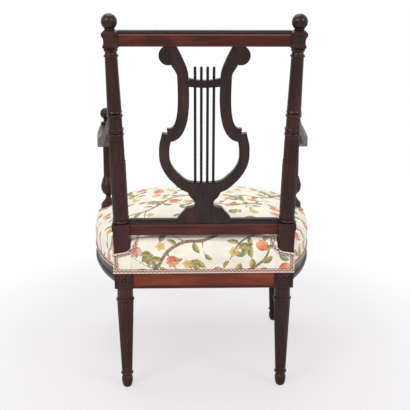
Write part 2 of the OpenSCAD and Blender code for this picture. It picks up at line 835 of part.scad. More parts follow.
module lyre_frame() {
    color(dark_mahogany) on_back() {
        difference() {
            translate([0, 0, lyre_low]) rotate([90, 0, 0]) {
                linear_extrude(lyre_t - 2 * face_t, center = true) lyre_outline();
                linear_extrude(lyre_t, center = true) lyre_outline(face_inset);
            }
            rotate([90, 0, 90]) linear_extrude(lyre_w, center = true)
                translate([0, -seat_gap]) low_rail_slot();
            yoke_pins(seat_gap);
            for (i = [0:strings - 1]) string_rod(i, seat_gap);
        }
        both_sides() lyre_tenon();
    }
}

module low_rail_slot() {
    cove = (low_rail_t - ridge_t) / 2;
    difference() {
        translate([-low_rail_t / 2 - seat_gap, low_rail_at])
            square([low_rail_t + 2 * seat_gap, low_rail_h - ridge_h + cove]);
        for (side = [-1, 1]) translate([side * (low_rail_t / 2 + seat_gap), ridge_low + cove])
            circle(r = cove);
    }
    translate([-ridge_t / 2 - seat_gap, low_rail_at])
        square([ridge_t + 2 * seat_gap, low_rail_h + 2 * seat_gap]);
}

// Yoke: a sagging bar pinned in the lyre's arms, which the strings pass through
yoke_shares = [[-1, 0, 1.15], [-0.5, -0.75, 1], [0, -1, 0.98], [0.5, -0.75, 1], [1, 0, 1.15]];

module lyre_yoke() {
    color(dark_mahogany) on_back() {
        difference() {
            translate([0, 0, yoke_at]) rotate([90, 0, 0]) linear_extrude(yoke_t, center = true)
                intersection() {
                    band(smooth(scaled(yoke_shares, yoke_half * 1.1, yoke_sag, yoke_h / 2), lyre_steps));
                    square([2 * yoke_half - 2 * seat_gap, 3 * yoke_h], center = true);
                }
            for (i = [0:strings - 1]) string_rod(i, seat_gap);
        }
        both_sides() intersection() {
            yoke_pins();
            translate([yoke_half - fillet, -yoke_t, 0]) cube([lyre_half, 2 * yoke_t, post_len]);
        }
    }
}

module lyre_string(i) {
    color(ebonised) on_back() if (i < strings) {
        string_rod(i);
        translate([string_x(i), 0, string_top]) sphere(d = string_knob_d);
    }
}

module lyre_string_1() lyre_string(0);
module lyre_string_2() lyre_string(1);
module lyre_string_3() lyre_string(2);
module lyre_string_4() lyre_string(3);

// Arm, sawn to a plan and to a side view, as shares of the way from the post to the support
arm_plan_shares = [[0, 0, 0.70], [0.042, 0.07, 0.70], [0.120, 0.22, 0.76], [0.246, 0.44, 0.88],
    [0.384, 0.665, 1], [0.510, 0.785, 1], [0.635, 0.87, 1], [0.786, 0.95, 0.97], [1, 1, 0.94],
    [1.045, 1, 0.85]];
arm_side_shares = [[0, 1, 1], [0.042, 0.99, 1], [0.112, 0.60, 1.05], [0.203, 0.10, 1.05],
    [0.321, -0.18, 1.02], [0.459, -0.27, 1], [0.622, -0.25, 1], [0.799, -0.14, 1], [0.930, 0, 1],
    [1.060, 0, 1]];
arm_steps = 4;
arm_from_x = post_x(arm_joint_at);
arm_from_y = arm_joint_at * sin(rake);
arm_from_z = rail_top + arm_joint_at * cos(rake);
arm_run = -support_depth - arm_from_y;
arm_to_z = arm_top - arm_t / 2;

arm_plan = smooth([for (p = arm_plan_shares) [arm_from_x + p.y * (support_x - arm_from_x),
    arm_from_y + p.x * arm_run, p.z * arm_w / 2]], arm_steps);
arm_side = smooth([for (p = arm_side_shares) [arm_from_y + p.x * arm_run,
    arm_to_z + p.y * (arm_from_z - arm_to_z), p.z * arm_t / 2]], arm_steps);

support_spigot_d = 14;
support_top = arm_top - arm_t;
finial_pin_d = 7;
finial_pin_len = 14;

module arm() {
    color(mahogany) {
        from_rear() difference() {
            intersection() {
                linear_extrude(arm_from_z * 2) band(arm_plan);
                translate([support_x, 0, 0]) rotate([90, 0, 90])
                    linear_extrude(seat_w, center = true) band(arm_side);
            }
            translate([support_x, -support_depth, support_top - eps])
                cylinder(h = arm_t + 2 * eps, d = support_spigot_d + 2 * seat_gap);
            translate([0, -rear_y, 0]) on_back() post_axis()
                cylinder(h = post_len, d = arm_zone_d + 2 * seat_gap);
            translate([0, -rear_y, 0]) on_back() post_axis() translate([-arm_w, 0, 0])
                cube([2 * arm_w, 2 * arm_w, post_len]);
        }
        on_back() arm_spigot();
    }
}

module arm_left() mirror([1, 0, 0]) arm();
module arm_right() arm();

// Turned arm support: a plain stub through the stuffing, flared base, neck, vase and shaft. The turning is
// given as shares of its largest diameter and of the height from its base to the top of the vase.
base_d = 43;
base_rise = 92;
base_foot = 9;
base_at = rail_top + base_rise;
vase_h = 84;
vase_top = base_at + vase_h;
support_shaft_d = 24;
support_shaft_top_d = 22.5;
support_shares = [[0.524, 0.050], [0.420, 0.130], [0.247, 0.230], [0.183, 0.310], [0.205, 0.370],
    [0.390, 0.470], [0.480, 0.590], [0.500, 0.730], [0.430, 0.860], [0.340, 1]];
support_ring_h = 2 * fillet;

module support_spigot(grow = 0) {
    translate([support_x, -support_depth, rail_top - spigot_len - grow])
        cylinder(h = spigot_len + grow + fillet, d = spigot_d + 2 * grow);
}

module arm_support() {
    line = smooth([for (p = support_shares) [p.x * support_d, base_at + p.y * vase_h, 0]], arm_steps);
    color(mahogany) from_rear() {
        translate([support_x, -support_depth, 0]) difference() {
            rotate_extrude() polygon(concat(
                [[0, rail_top], [stub_d / 2, rail_top], [stub_d / 2, base_at - base_foot],
                 [base_d / 2, base_at - base_foot], [base_d / 2, base_at]],
                flat(line),
                [[support_shaft_d / 2, vase_top + fillet],
                 [support_shaft_top_d / 2, support_top - 2 * support_ring_h]],
                ring_profile(support_shaft_d / 2 + fillet / 2, support_top - 2 * support_ring_h,
                    support_ring_h, small_steps),
                [[support_shaft_top_d / 2, support_top - fillet], [support_shaft_d / 2, support_top],
                 [support_spigot_d / 2, support_top], [support_spigot_d / 2, arm_top - fillet],
                 [0, arm_top - fillet]]));
            translate([0, 0, arm_top - fillet - finial_pin_len])
                cylinder(h = arm_t, d = finial_pin_d + 2 * seat_gap);
        }
        support_spigot();
    }
}

module arm_support_left() mirror([1, 0, 0]) arm_support();
module arm_support_right() arm_support();

arm_collar_d = 32;
arm_collar_h = 9;
arm_ball_neck_d = 15;
arm_ball_neck_h = 13;

module arm_finial() {
    color(dark_mahogany) from_rear() translate([support_x, -support_depth, arm_top]) {
        translate([0, 0, -finial_pin_len]) cylinder(h = finial_pin_len + eps, d = finial_pin_d);
        rotate_extrude() polygon(concat([[0, 0]],
            ring_profile(arm_collar_d / 2, 0, arm_collar_h, ring_steps),
            [[arm_ball_neck_d / 2, arm_collar_h], [arm_ball_neck_d / 2, arm_collar_h + arm_ball_neck_h],
             [0, arm_collar_h + arm_ball_neck_h]]));
        translate([0, 0, arm_collar_h + arm_ball_neck_h / 2 + arm_ball_d / 2]) sphere(d = arm_ball_d);
    }
}

module arm_finial_left() mirror([1, 0, 0]) arm_finial();
module arm_finial_right() arm_finial();

// Seat: webbing on the rails, hessian on the webbing, the stuffing, the cover cloth and the gimp
web_w = 55;
web_t = 1.5;
web_margin = 14;
hessian_margin = 12;
hessian_t = 1;
stuffing_low = rail_top + 2 * web_t + hessian_t;

module frame_plan(inset) {
    rear = rear_face - inset;
    polygon(concat([[rear_x, rear]], shifted(rim, -inset), [[-rear_x, rear]]));
}

module clear_of_posts(low, high) {
    difference() {
        children();
        both_sides() {
            translate([rear_x - die_half - eps, -die_half - eps, low - eps])
                cube([2 * die_w, 2 * die_w, high - low + 2 * eps]);
            translate([support_x, -support_depth, low - eps])
                cylinder(h = high - low + 2 * eps, d = stub_d + 2 * eps);
        }
    }
}

module web_strips(count, span, turn) {
    rotate([0, 0, turn]) for (i = [0:count - 1])
        translate([(i - (count - 1) / 2) * span / count - web_w / 2, -seat_w]) square([web_w, 2 * seat_w]);
}

module seat_webbing() {
    color(jute) from_rear() {
        clear_of_posts(rail_top, rail_top + web_t) translate([0, 0, rail_top]) linear_extrude(web_t)
            intersection() {
                frame_plan(web_margin);
                web_strips(webs_long, seat_w * 0.8, 0);
            }
        clear_of_posts(rail_top, rail_top + 2 * web_t)
            translate([0, 0, rail_top + web_t]) linear_extrude(web_t) intersection() {
                frame_plan(web_margin);
                translate([0, -seat_depth * 0.48]) web_strips(webs_cross, seat_depth * 0.86, 90);
            }
    }
}

module seat_hessian() {
    color(jute) from_rear() clear_of_posts(rail_top, stuffing_low) translate([0, 0, rail_top + 2 * web_t])
        linear_extrude(hessian_t) frame_plan(hessian_margin);
}

// Cushion surface: rings of one outline, from the rails up the side, over the rolled edge and on to the crown
cushion_steps = 2;
notch_x = post_spread / 2 - pedestal_w / 2 - seat_gap;
notch_y = -pedestal_w / 2 - seat_gap;
back_wall = pedestal_w / 2 + seat_gap + cloth_t;
flat_reach = 180;
cushion_middle = -seat_depth / 2;
edge_roll = 26;
drop_power = 4;
crown_power = 2.2;

notch = [[notch_x / 2, back_wall], [notch_x, back_wall], [notch_x, notch_y]];
cushion_rim = shifted(both_halves(smooth(concat(side_points, front_points), cushion_steps)), cloth_t);
cushion_loop = concat([[0, back_wall]], notch, cushion_rim, [for (p = flip(notch)) [-p.x, p.y]]);
loop_len = len(cushion_loop);

function loop_dir(i) = let (
    a = cushion_loop[(i + loop_len - 1) % loop_len], b = cushion_loop[(i + 1) % loop_len], run = b - a)
    run / norm(run);
function inward(i) = cushion_loop[i].y > 0 ? [0, -1] : [loop_dir(i).y, -loop_dir(i).x];
function corner(p) = p.y > 0 && abs(p.x) > notch_x / 2 ? [-sign(p.x), 0] : [0, 0];
function near_back(y) = let (t = min(max((y + flat_reach) / flat_reach, 0), 1)) t * t * (3 - 2 * t);
function edge_height(p) = edge_rear + (edge_front - edge_rear) * max(-p.y, 0) / seat_depth
    - side_drop * pow(abs(p.x) / seat_half, drop_power);

// Rings up the side: how far they stand out at the sides and at the rear, and their height, as shares
side_ring_shares = [[0, 0, 0], [0, 0.05, 0.11], [0.08, 0.17, 0.35], [0.12, 0.27, 0.60], [-0.08, 0.30, 0.86],
    [-0.46, 0.02, 0.96], [-1, -1, 1]];
top_ring_shares = [0.72, 0.40];

function ring_reach(share, p) = p.y > 0 ? share.y : share.x > 0 ? share.x * (1 - near_back(p.y)) : share.x;
function side_ring(share, skin) = [for (i = [0:loop_len - 1]) let (
    p = cushion_loop[i], q = p + corner(p) * skin + inward(i) * (skin - ring_reach(share, p) * edge_roll))
    [q.x, q.y, rail_top + share.z * (edge_height(q) - skin)]];
function top_point(p, share, skin) = let (
    middle = [0, cushion_middle], q = middle + (p - middle) * share)
    [q.x, q.y, rail_top + edge_height(q) + crown * (1 - pow(share, crown_power)) - skin];
function top_ring(share, skin) = [for (i = [0:loop_len - 1]) let (p = cushion_loop[i])
    top_point(p + corner(p) * skin + inward(i) * (skin + edge_roll), share, skin)];
function cushion_rings(skin) = concat([for (share = side_ring_shares) side_ring(share, skin)],
    [for (share = top_ring_shares) top_ring(share, skin)]);
function joined(rings) = [for (ring = rings, p = ring) p];
function skin_faces(first, rings) = [for (r = [0:rings - 2], i = [0:loop_len - 1], half = [0, 1]) let (
    a = first + r * loop_len + i, b = first + r * loop_len + (i + 1) % loop_len)
    half == 0 ? [a, b, b + loop_len] : [a, b + loop_len, a + loop_len]];
function fan(first, tip) = [for (i = [0:loop_len - 1]) [first + i, first + (i + 1) % loop_len, tip]];
function turned_over(faces) = [for (face = faces) flip(face)];

ring_count = len(side_ring_shares) + len(top_ring_shares);
skin_len = ring_count * loop_len;

module stuffing_body(skin) {
    rings = cushion_rings(skin);
    floor_ring = [for (p = rings[0]) [p.x, p.y, stuffing_low + seat_gap]];
    points = concat(floor_ring, joined([for (r = [1:ring_count - 1]) rings[r]]),
        [[0, cushion_middle, stuffing_low + seat_gap], top_point([0, cushion_middle], 0, skin)]);
    polyhedron(points, concat(skin_faces(0, ring_count), fan(skin_len - loop_len, skin_len + 1),
        turned_over(fan(0, skin_len))));
}

module cover_shell() {
    outer = joined(cushion_rings(0));
    inner = joined(cushion_rings(cloth_t));
    tip = 2 * skin_len;
    middle = [0, cushion_middle];
    rim = [for (i = [0:loop_len - 1], half = [0, 1]) let (j = (i + 1) % loop_len)
        half == 0 ? [i, skin_len + i, skin_len + j] : [i, skin_len + j, j]];
    polyhedron(concat(outer, inner, [top_point(middle, 0, 0), top_point(middle, 0, cloth_t)]),
        concat(skin_faces(0, ring_count), fan(skin_len - loop_len, tip), rim,
        turned_over(concat(skin_faces(skin_len, ring_count), fan(tip - loop_len, tip + 1)))));
}

// Room in the seat for the stub and the base of an arm support
module support_room() {
    both_sides() translate([support_x, -support_depth, 0]) {
        translate([0, 0, rail_top - eps]) cylinder(h = base_rise + eps, d = stub_d + 2 * eps);
        translate([0, 0, base_at - base_foot - seat_gap])
            cylinder(h = edge_front, d = base_d + 2 * seat_gap);
    }
}

module seat_stuffing() {
    color(wool) from_rear() difference() {
        stuffing_body(cloth_t + seat_gap);
        support_room();
    }
}

// Cover: the shell, and a flap that wraps the foot of each post
flap_h = 50;
flap_rise = back_wall * tan(rake) + seat_gap;

module seat_cover() {
    color(cream) {
        from_rear() difference() {
            cover_shell();
            support_room();
        }
        on_back() both_sides() translate([0, 0, flap_rise]) linear_extrude(flap_h - flap_rise) post_flap();
    }
}

flap_x = post_spread / 2 + pedestal_w / 2 + seat_gap + flap_h * tan(splay);

module post_flap() {
    translate([notch_x - cloth_t / 2, pedestal_w / 2 + seat_gap])
        square([flap_x + cloth_t * 1.5 - notch_x, cloth_t]);
    translate([flap_x, notch_y - cloth_t * 2]) square([cloth_t, pedestal_w + 2 * seat_gap + cloth_t * 2.5]);
}

// Gimp: along the foot of the cloth, up the rear corners and round the posts
gimp_path_shares = [[0.53, 0.360, 1], [0.10, 0.378, 1], [-0.28, 0.408, 1], [-0.50, 0.470, 1],
    [-0.65, 0.560, 1]];

module gimp_loop(by) {
    side_x = flap_x + cloth_t + by;
    rear = back_wall + gimp_h * tan(rake) + by;
    front = notch_y - cloth_t;
    polygon(concat([[-side_x, front], [-side_x, rear], [side_x, rear], [side_x, front]],
        shifted(rim, cloth_t + by)));
}

module gimp_braid() {
    face = back_wall + seat_gap;
    color(rose) {
        from_rear() difference() {
            translate([0, 0, rail_top - gimp_h / 2]) linear_extrude(gimp_h) difference() {
                gimp_loop(seat_gap + gimp_t);
                gimp_loop(seat_gap);
            }
            both_sides() at_front_leg() translate([-die_half - eps, -die_half - eps, rail_bottom])
                cube([die_w + 2 * eps, die_w + 2 * eps, rail_h + eps]);
        }
        on_back() both_sides() translate([0, face + gimp_t, 0]) rotate([90, 0, 0]) linear_extrude(gimp_t) {
            translate([flap_x + cloth_t - gimp_h, gimp_h * 0.6]) square([gimp_h, flap_h - gimp_h * 0.6]);
            band(smooth([for (p = gimp_path_shares) [post_spread / 2 + p.x * pedestal_w, p.y * pedestal_h,
                p.z * gimp_h / 2]], line_steps));
        }
    }
}

rear_post_left();
rear_post_right();
back_finial_left();
back_finial_right();
front_leg_left();
front_leg_right();
rear_rail();
front_rail();
side_rail_left();
side_rail_right();
corner_block_rear_left();
corner_block_rear_right();
corner_block_front_left();
corner_block_front_right();
corner_block_screws();
crest_rail();
lower_back_rail();
lyre_frame();
lyre_yoke();
lyre_string_1();
lyre_string_2();
lyre_string_3();
lyre_string_4();
arm_left();
arm_right();
arm_support_left();
arm_support_right();
arm_finial_left();
arm_finial_right();
seat_webbing();
seat_hessian();
seat_stuffing();
seat_cover();
gimp_braid();
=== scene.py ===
"""Desk armchair with a lyre back: camera, light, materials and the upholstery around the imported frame."""
import json
from math import cos, pi, radians, sin, tan

import bmesh
import bpy
import numpy as np
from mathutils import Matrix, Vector
from mathutils.bvhtree import BVHTree
from mathutils.kdtree import KDTree

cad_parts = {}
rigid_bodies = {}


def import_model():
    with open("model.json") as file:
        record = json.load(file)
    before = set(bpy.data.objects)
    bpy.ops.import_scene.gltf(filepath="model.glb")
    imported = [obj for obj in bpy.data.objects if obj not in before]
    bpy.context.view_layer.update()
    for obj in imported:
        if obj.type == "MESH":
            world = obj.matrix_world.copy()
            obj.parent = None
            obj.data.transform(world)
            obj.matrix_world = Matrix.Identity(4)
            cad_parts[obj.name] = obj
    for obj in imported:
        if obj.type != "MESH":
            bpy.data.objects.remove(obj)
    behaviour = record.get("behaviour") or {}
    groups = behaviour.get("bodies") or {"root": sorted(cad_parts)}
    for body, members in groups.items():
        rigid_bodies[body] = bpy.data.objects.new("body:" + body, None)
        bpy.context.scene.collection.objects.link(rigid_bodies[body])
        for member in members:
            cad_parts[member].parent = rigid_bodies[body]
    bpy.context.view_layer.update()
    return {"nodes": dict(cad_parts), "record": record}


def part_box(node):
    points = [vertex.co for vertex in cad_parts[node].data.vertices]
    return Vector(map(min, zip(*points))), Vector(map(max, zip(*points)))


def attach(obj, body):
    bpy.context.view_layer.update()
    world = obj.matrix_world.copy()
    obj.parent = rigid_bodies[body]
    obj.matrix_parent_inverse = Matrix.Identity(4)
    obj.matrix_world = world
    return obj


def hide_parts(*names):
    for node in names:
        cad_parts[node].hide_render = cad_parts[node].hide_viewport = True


for thing in list(bpy.data.objects):
    bpy.data.objects.remove(thing)
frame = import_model()
MM = 0.001

# Sizes repeated from the CAD source, in millimetres
RAIL_TOP = 318.0
REAR_X, SEAT_HALF, FRONT_X = 199.5, 310.0, 238.0
LEG_DEPTH, SEAT_DEPTH = 452.0, 505.0
DIE_HALF, PEDESTAL, POST_X = 23.5, 40.0, 201.0
RAKE, SPLAY = radians(8.0), radians(1.0)
SUPPORT, RING_R = (277.5, -345.0), 24.0
EDGE_REAR, EDGE_FRONT, SIDE_DROP, CROWN, ROLL = 86.0, 124.0, 30.0, 24.0, 26.0
CLOTH, GAP, GIMP_H, FLAP_H = 2.0, 0.2, 10.0, 50.0
RAIL_BEHIND = 22.0
REAR_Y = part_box("rear_rail")[1].y / MM - RAIL_BEHIND
NOTCH_X = POST_X - PEDESTAL / 2 - GAP
NOTCH_Y = -PEDESTAL / 2 - GAP
BACK_WALL = PEDESTAL / 2 + GAP + CLOTH
MIDDLE = np.array([0.0, -SEAT_DEPTH / 2])
FLAP_X = POST_X + PEDESTAL / 2 + GAP + FLAP_H * tan(SPLAY)
STUFFING_LOW = RAIL_TOP + 4.2
PEDESTAL_H = 126.0

# The photograph's camera: lens in pixels of its frame, place behind the rear legs in metres, turns in degrees
FRAME_PX, LENS_PX, SENSOR = 410, 662.57, 36.0
CAMERA_X, CAMERA_BEHIND, CAMERA_Z = 0.0353, 1.60206, 0.81735
CAMERA_DOWN, CAMERA_TURN = 11.855, 1.358
# Lamps: place, height of the aim on the chair's axis, side of the square, power
LAMPS = {"lamp_left": ((1.7, 2.2, 2.3), 0.5, 1.1, 34), "lamp_right": ((-2.0, 1.9, 2.1), 0.5, 1.0, 22),
         "lamp_top": ((0.2, -0.4, 2.8), 0.4, 1.6, 26)}


def link(name, data):
    thing = bpy.data.objects.new(name, data)
    bpy.context.scene.collection.objects.link(thing)
    return thing


def make_camera():
    data = bpy.data.cameras.new("camera")
    data.sensor_width, data.lens = SENSOR, LENS_PX / FRAME_PX * SENSOR
    data.clip_start, data.clip_end = 0.05, 60.0
    camera = link("camera", data)
    camera.location = (CAMERA_X, CAMERA_BEHIND + REAR_Y * MM, CAMERA_Z)
    camera.rotation_euler = (radians(90 - CAMERA_DOWN), 0.0, radians(180 - CAMERA_TURN))
    bpy.context.scene.camera = camera


def add_lamp(name, place, aim, size, power):
    data = bpy.data.lights.new(name, "AREA")
    data.shape, data.size, data.energy = "SQUARE", size, power
    lamp = link(name, data)
    lamp.location = place
    lamp.rotation_euler = (Vector((0, 0, aim)) - Vector(place)).to_track_quat("-Z", "Y").to_euler()


# Node helpers
def rgb(r, g, b):
    """A paint program's colour as the linear colour that a shader takes."""
    return tuple(((v / 255 + 0.055) / 1.055) ** 2.4 if v > 10 else v / 255 / 12.92 for v in (r, g, b)) + (1.0,)


def add(beside, kind, sockets=None, **props):
    """A new node in a tree, or in the tree of a socket."""
    tree = beside.id_data
    node = tree.nodes.new("ShaderNode" + kind)
    for key, value in props.items():
        setattr(node, key, value)
    for key, value in (sockets or {}).items():
        if isinstance(value, bpy.types.NodeSocket):
            tree.links.new(value, node.inputs[key])
        else:
            node.inputs[key].default_value = value
    return node


def mix(share, a, b):
    """A mix of two colours, each a socket or written as in a paint program."""
    a, b = (rgb(*colour) if isinstance(colour, tuple) else colour for colour in (a, b))
    return add(share, "Mix", {0: share, 6: a, 7: b}, data_type="RGBA").outputs[2]


def calc(kind, a, b=0.0):
    return add(a, "Math", {0: a, 1: b}, operation=kind).outputs[0]


def times(a, b):
    return calc("MULTIPLY", a, b)


def plus(a, b):
    return calc("ADD", a, b)


def dot(a, b):
    return add(a, "VectorMath", {0: a, 1: b}, operation="DOT_PRODUCT").outputs["Value"]


def ramp(value, low, high, to_low=0.0, to_high=1.0):
    sockets = {"Value": value, "From Min": low, "From Max": high, "To Min": to_low, "To Max": to_high}
    return add(value, "MapRange", sockets, interpolation_type="SMOOTHSTEP").outputs[0]


def noise(place, scale, detail=3.0, rough=0.55, warp=0.0):
    return add(place, "TexNoise", {
        "Vector": place, "Scale": scale, "Detail": detail, "Roughness": rough, "Distortion": warp}).outputs[0]


def stretched(place, scale):
    return add(place, "Mapping", {"Vector": place, "Scale": scale}).outputs[0]


def wave(place, way, scale, warp):
    sockets = {"Vector": place, "Scale": scale, "Distortion": warp, "Detail": 1.0}
    return add(place, "TexWave", sockets, bands_direction=way).outputs["Fac"]


def attribute(place, name):
    return add(place, "Attribute", attribute_name=name).outputs["Fac"]


def new_material(name):
    """A bare material, and the place of a shaded point."""
    material = bpy.data.materials.new(name)
    material.use_nodes = True
    tree = material.node_tree
    tree.nodes.clear()
    return material, add(tree, "TexCoord").outputs["Object"]


def show(shader, kind="Material"):
    add(shader, "Output" + kind, {"Surface": shader.outputs[0]})


def finish_material(colour, height, distance, sockets, normal=None):
    """Principled shader with a bump from a height."""
    bump = add(colour, "Bump", {"Height": height, "Distance": distance, "Strength": 1.0})
    if normal is not None:
        colour.id_data.links.new(normal, bump.inputs["Normal"])
    sockets = {"Base Color": colour, "Normal": bump.outputs[0], **sockets}
    show(add(colour, "BsdfPrincipled", sockets))


# Polished wood: grain, figure, pores, and a lighter line where an edge is worn
EDGE_WEAR = 1.2


def wood(name, dark, mid, light, axis, polish=0.28, coat=0.12, wear=(96, 58, 46), pore=0.6, bands=()):
    """Wood with its grain along one axis; bands are painted shade and painted highlight on the back rails'
    mouldings, and dark stripes low on the seat rails.
    """
    material, place = new_material(name)
    along, fine = ([share if i == axis else 1.0 for i in range(3)] for share in (0.07, 0.03))
    streak = noise(stretched(place, along), 90.0, 5.0, 0.62, 0.8)
    broad = noise(stretched(place, [v * 0.5 + 0.1 for v in along]), 26.0, 3.0, 0.5, 1.4)
    cloud = noise(place, 9.0, 2.0)
    pores = ramp(noise(stretched(place, fine), 900.0, 2.0, 0.5), 0.60, 0.70)
    colour = mix(ramp(streak, 0.30, 0.70), dark, mid)
    colour = mix(times(ramp(broad, 0.46, 0.72), 0.75), colour, light)
    colour = mix(ramp(cloud, 0.35, 0.75, 0.0, 0.35), colour, dark)
    colour = mix(times(pores, pore), colour, tuple(v * 0.45 for v in dark))
    bevel = add(place, "Bevel", {"Radius": EDGE_WEAR * MM}, samples=4).outputs[0]
    edge = dot(bevel, add(place, "NewGeometry").outputs["Normal"])
    worn = times(ramp(edge, 0.995, 0.90), ramp(noise(place, 45.0, 4.0), 0.38, 0.62))
    colour = mix(times(worn, 0.55), colour, wear)
    # Bands: painted shade and painted highlight on the back rails' mouldings, and dark stripes low on the seat
    # rails
    for raked, low, high, feather, tone, share in bands:
        rise = dot(place, (0.0, sin(RAKE), cos(RAKE)) if raked else (0.0, 0.0, 1.0))
        base = (RAIL_TOP * cos(RAKE) + REAR_Y * sin(RAKE)) if raked else 0.0
        low, high, feather = (base + low) * MM, (base + high) * MM, feather * MM
        over = times(ramp(rise, low - feather, low + feather),
                     ramp(rise, high - feather, high + feather, share, 0.0))
        colour = mix(over, colour, tone)
    dull = plus(ramp(noise(place, 30.0, 4.0), 0.3, 0.75, 0.0, 0.14), polish)
    dull = plus(dull, times(pores, 0.12))
    height = calc("SUBTRACT", times(streak, 0.25), pores)
    finish_material(colour, height, 0.06 * MM, {
        "Roughness": dull, "Coat Weight": coat, "Coat Roughness": 0.16, "Specular IOR Level": 0.2}, bevel)
    return material


def plain_metal(name):
    material, place = new_material(name)
    scratch = noise(place, 700.0, 3.0)
    colour = mix(ramp(scratch, 0.35, 0.7), (92, 92, 96), (140, 138, 134))
    rust = ramp(noise(place, 160.0, 4.0), 0.58, 0.70)
    colour = mix(times(rust, 0.5), colour, (104, 70, 48))
    finish_material(colour, scratch, 0.05 * MM, {"Metallic": 0.9, "Roughness": 0.42})
    return material


# Colours of each wood: dark, middle and light streaks
ORANGE = ((92, 36, 20), (120, 50, 30), (148, 72, 44))
RED = ((48, 18, 14), (84, 32, 24), (106, 46, 34))
BROWN = ((34, 18, 16), (54, 27, 24), (74, 36, 31))
DARK = ((24, 15, 14), (40, 24, 22), (58, 32, 28))
BLACK = ((16, 13, 13), (24, 19, 18), (34, 25, 24))
BEECH = ((150, 116, 78), (176, 140, 98), (192, 158, 116))
LYRE = ((30, 20, 19), (46, 30, 27), (70, 40, 34))
TONES = {"red_mahogany": RED, "mahogany": BROWN, "dark_mahogany": DARK, "ebonised": BLACK, "beech": BEECH,
         "rear_rail": ORANGE, "side_rail_left": BROWN, "side_rail_right": BROWN, "front_rail": RED,
         "lyre_frame": LYRE}
LOOKS = {"dark_mahogany": {"polish": 0.24, "wear": (84, 48, 38)},
         "ebonised": {"polish": 0.36, "wear": (60, 42, 36)},
         "beech": {"polish": 0.6, "coat": 0.0, "wear": (206, 176, 132), "pore": 0.3}}
# Pieces whose grain runs across the chair, or from front to back; in all others it runs upright
ACROSS = ("rear_rail", "front_rail", "crest_rail", "lower_back_rail", "lyre_yoke")
LENGTHWISE = ("side_rail_left", "side_rail_right", "arm_left", "arm_right")
# Painted light on the back rails: on the crest and the lower back rail a dark band is painted shade over the
# top and in the cove, and the light line under it is a painted highlight on the bead. The rear and side seat
# rails get a dark stripe near their lower edge. A band is (raked, low, high, feather, colour, share), in
# millimetres above the floor, or up along the back where raked is true
SIDE_BAND = (False, 272.0, 285.0, 1.5, (18, 13, 13), 0.85)
BANDS = {
    # Crest: painted shade over its rounded top and cove, and a painted highlight line on the bead below
    "crest_rail": ((True, 575.5, 584.0, 0.8, (22, 15, 14), 0.92),
                   (True, 572.6, 574.8, 0.6, (150, 104, 88), 0.6)),
    # Lower back rail: painted shade in its moulded top cove, and a painted highlight line just under it
    "lower_back_rail": ((True, 123.5, 136.0, 1.2, (30, 20, 19), 0.85),
                        (True, 121.0, 123.0, 0.8, (120, 84, 72), 0.4)),
    "rear_rail": ((False, 272.0, 279.0, 1.0, (40, 22, 18), 0.75),),
    "side_rail_left": (SIDE_BAND,), "side_rail_right": (SIDE_BAND,)}


def dress_frame():
    """Gives every hard CAD node the wood of its slot or its own, with the grain along the piece."""
    made = {}
    slots = {part["node"]: part["material_slot"] for part in frame["record"]["subparts"]}
    for node, thing in frame["nodes"].items():
        slot, axis = slots[node], 0 if node in ACROSS else 1 if node in LENGTHWISE else 2
        key = (node if node in TONES or node in BANDS else slot, axis)
        if key not in made:
            name = "%s_%s" % (key[0], "xyz"[axis])
            if slot == "screw_steel":
                made[key] = plain_metal(name)
            else:
                tones = TONES.get(node) or TONES.get(slot, BROWN)
                made[key] = wood(name, *tones, axis, bands=BANDS.get(node, ()), **LOOKS.get(slot, {}))
        thing.data.materials.clear()
        thing.data.materials.append(made[key])


# Curves of the seat
def bend(a, b, c, d, t):
    """A point of the smooth curve between b and c, at the share t, with a before it and d after it."""
    return 0.5 * (2 * b + (c - a) * t + (2 * a - 5 * b + 4 * c - d) * t * t + (3 * b - a - 3 * c + d) * t ** 3)


def smooth(points, steps):
    points = [np.asarray(p, float) for p in points]
    last = len(points) - 1
    line = [bend(points[max(i - 1, 0)], points[i], points[i + 1], points[min(i + 2, last)], j / steps)
            for i in range(last) for j in range(steps)]
    return np.array(line + [points[last]])


def travel(line):
    """How far along the line each of its points lies."""
    return np.concatenate([[0], np.cumsum(np.linalg.norm(np.diff(line, axis=0), axis=1))])


def spaced(line, step):
    """The same line with points at about even steps."""
    line = np.asarray(line, float)
    run = travel(line)
    at = np.linspace(0, run[-1], max(int(round(run[-1] / step)), 1) + 1)
    return np.column_stack([np.interp(at, run, line[:, k]) for k in range(line.shape[1])])


def directions(line):
    run = np.gradient(line, axis=0)
    return run / np.linalg.norm(run, axis=1)[:, None]


def shifted(line, by):
    way = directions(line)
    return line + by * np.column_stack([-way[:, 1], way[:, 0]])


# Outline of the seat frame in shares of width and depth: from the right rear die out to the widest place, in
# to the front leg, and on to the middle
RIM_REAR = ((0, 0.049), (0.160, 0.111), (0.318, 0.174), (0.470, 0.244), (0.634, 0.343), (0.778, 0.442),
            (0.900, 0.553), (0.976, 0.664), (1, 0.752))
RIM_SIDE = ((0.957, 0.851), (0.807, 0.941), (0.500, 1.007), (0.030, 1.033))
RIM_FRONT = ((0.780, 0.530), (0.404, 0.895), (0, 1))


def seat_rim():
    die = REAR_X + DIE_HALF
    side = [(die + u * (SEAT_HALF - die), -v * LEG_DEPTH) for u, v in RIM_REAR]
    side += [(FRONT_X + u * (SEAT_HALF - FRONT_X), -v * LEG_DEPTH) for u, v in RIM_SIDE]
    start = side[-1][1]
    return smooth(side + [(u * FRONT_X, start + v * (-SEAT_DEPTH - start)) for u, v in RIM_FRONT], 6)


def edge_height(q):
    return (EDGE_REAR + (EDGE_FRONT - EDGE_REAR) * np.maximum(-q[:, 1], 0) / SEAT_DEPTH
            - SIDE_DROP * (np.abs(q[:, 0]) / SEAT_HALF) ** 4)


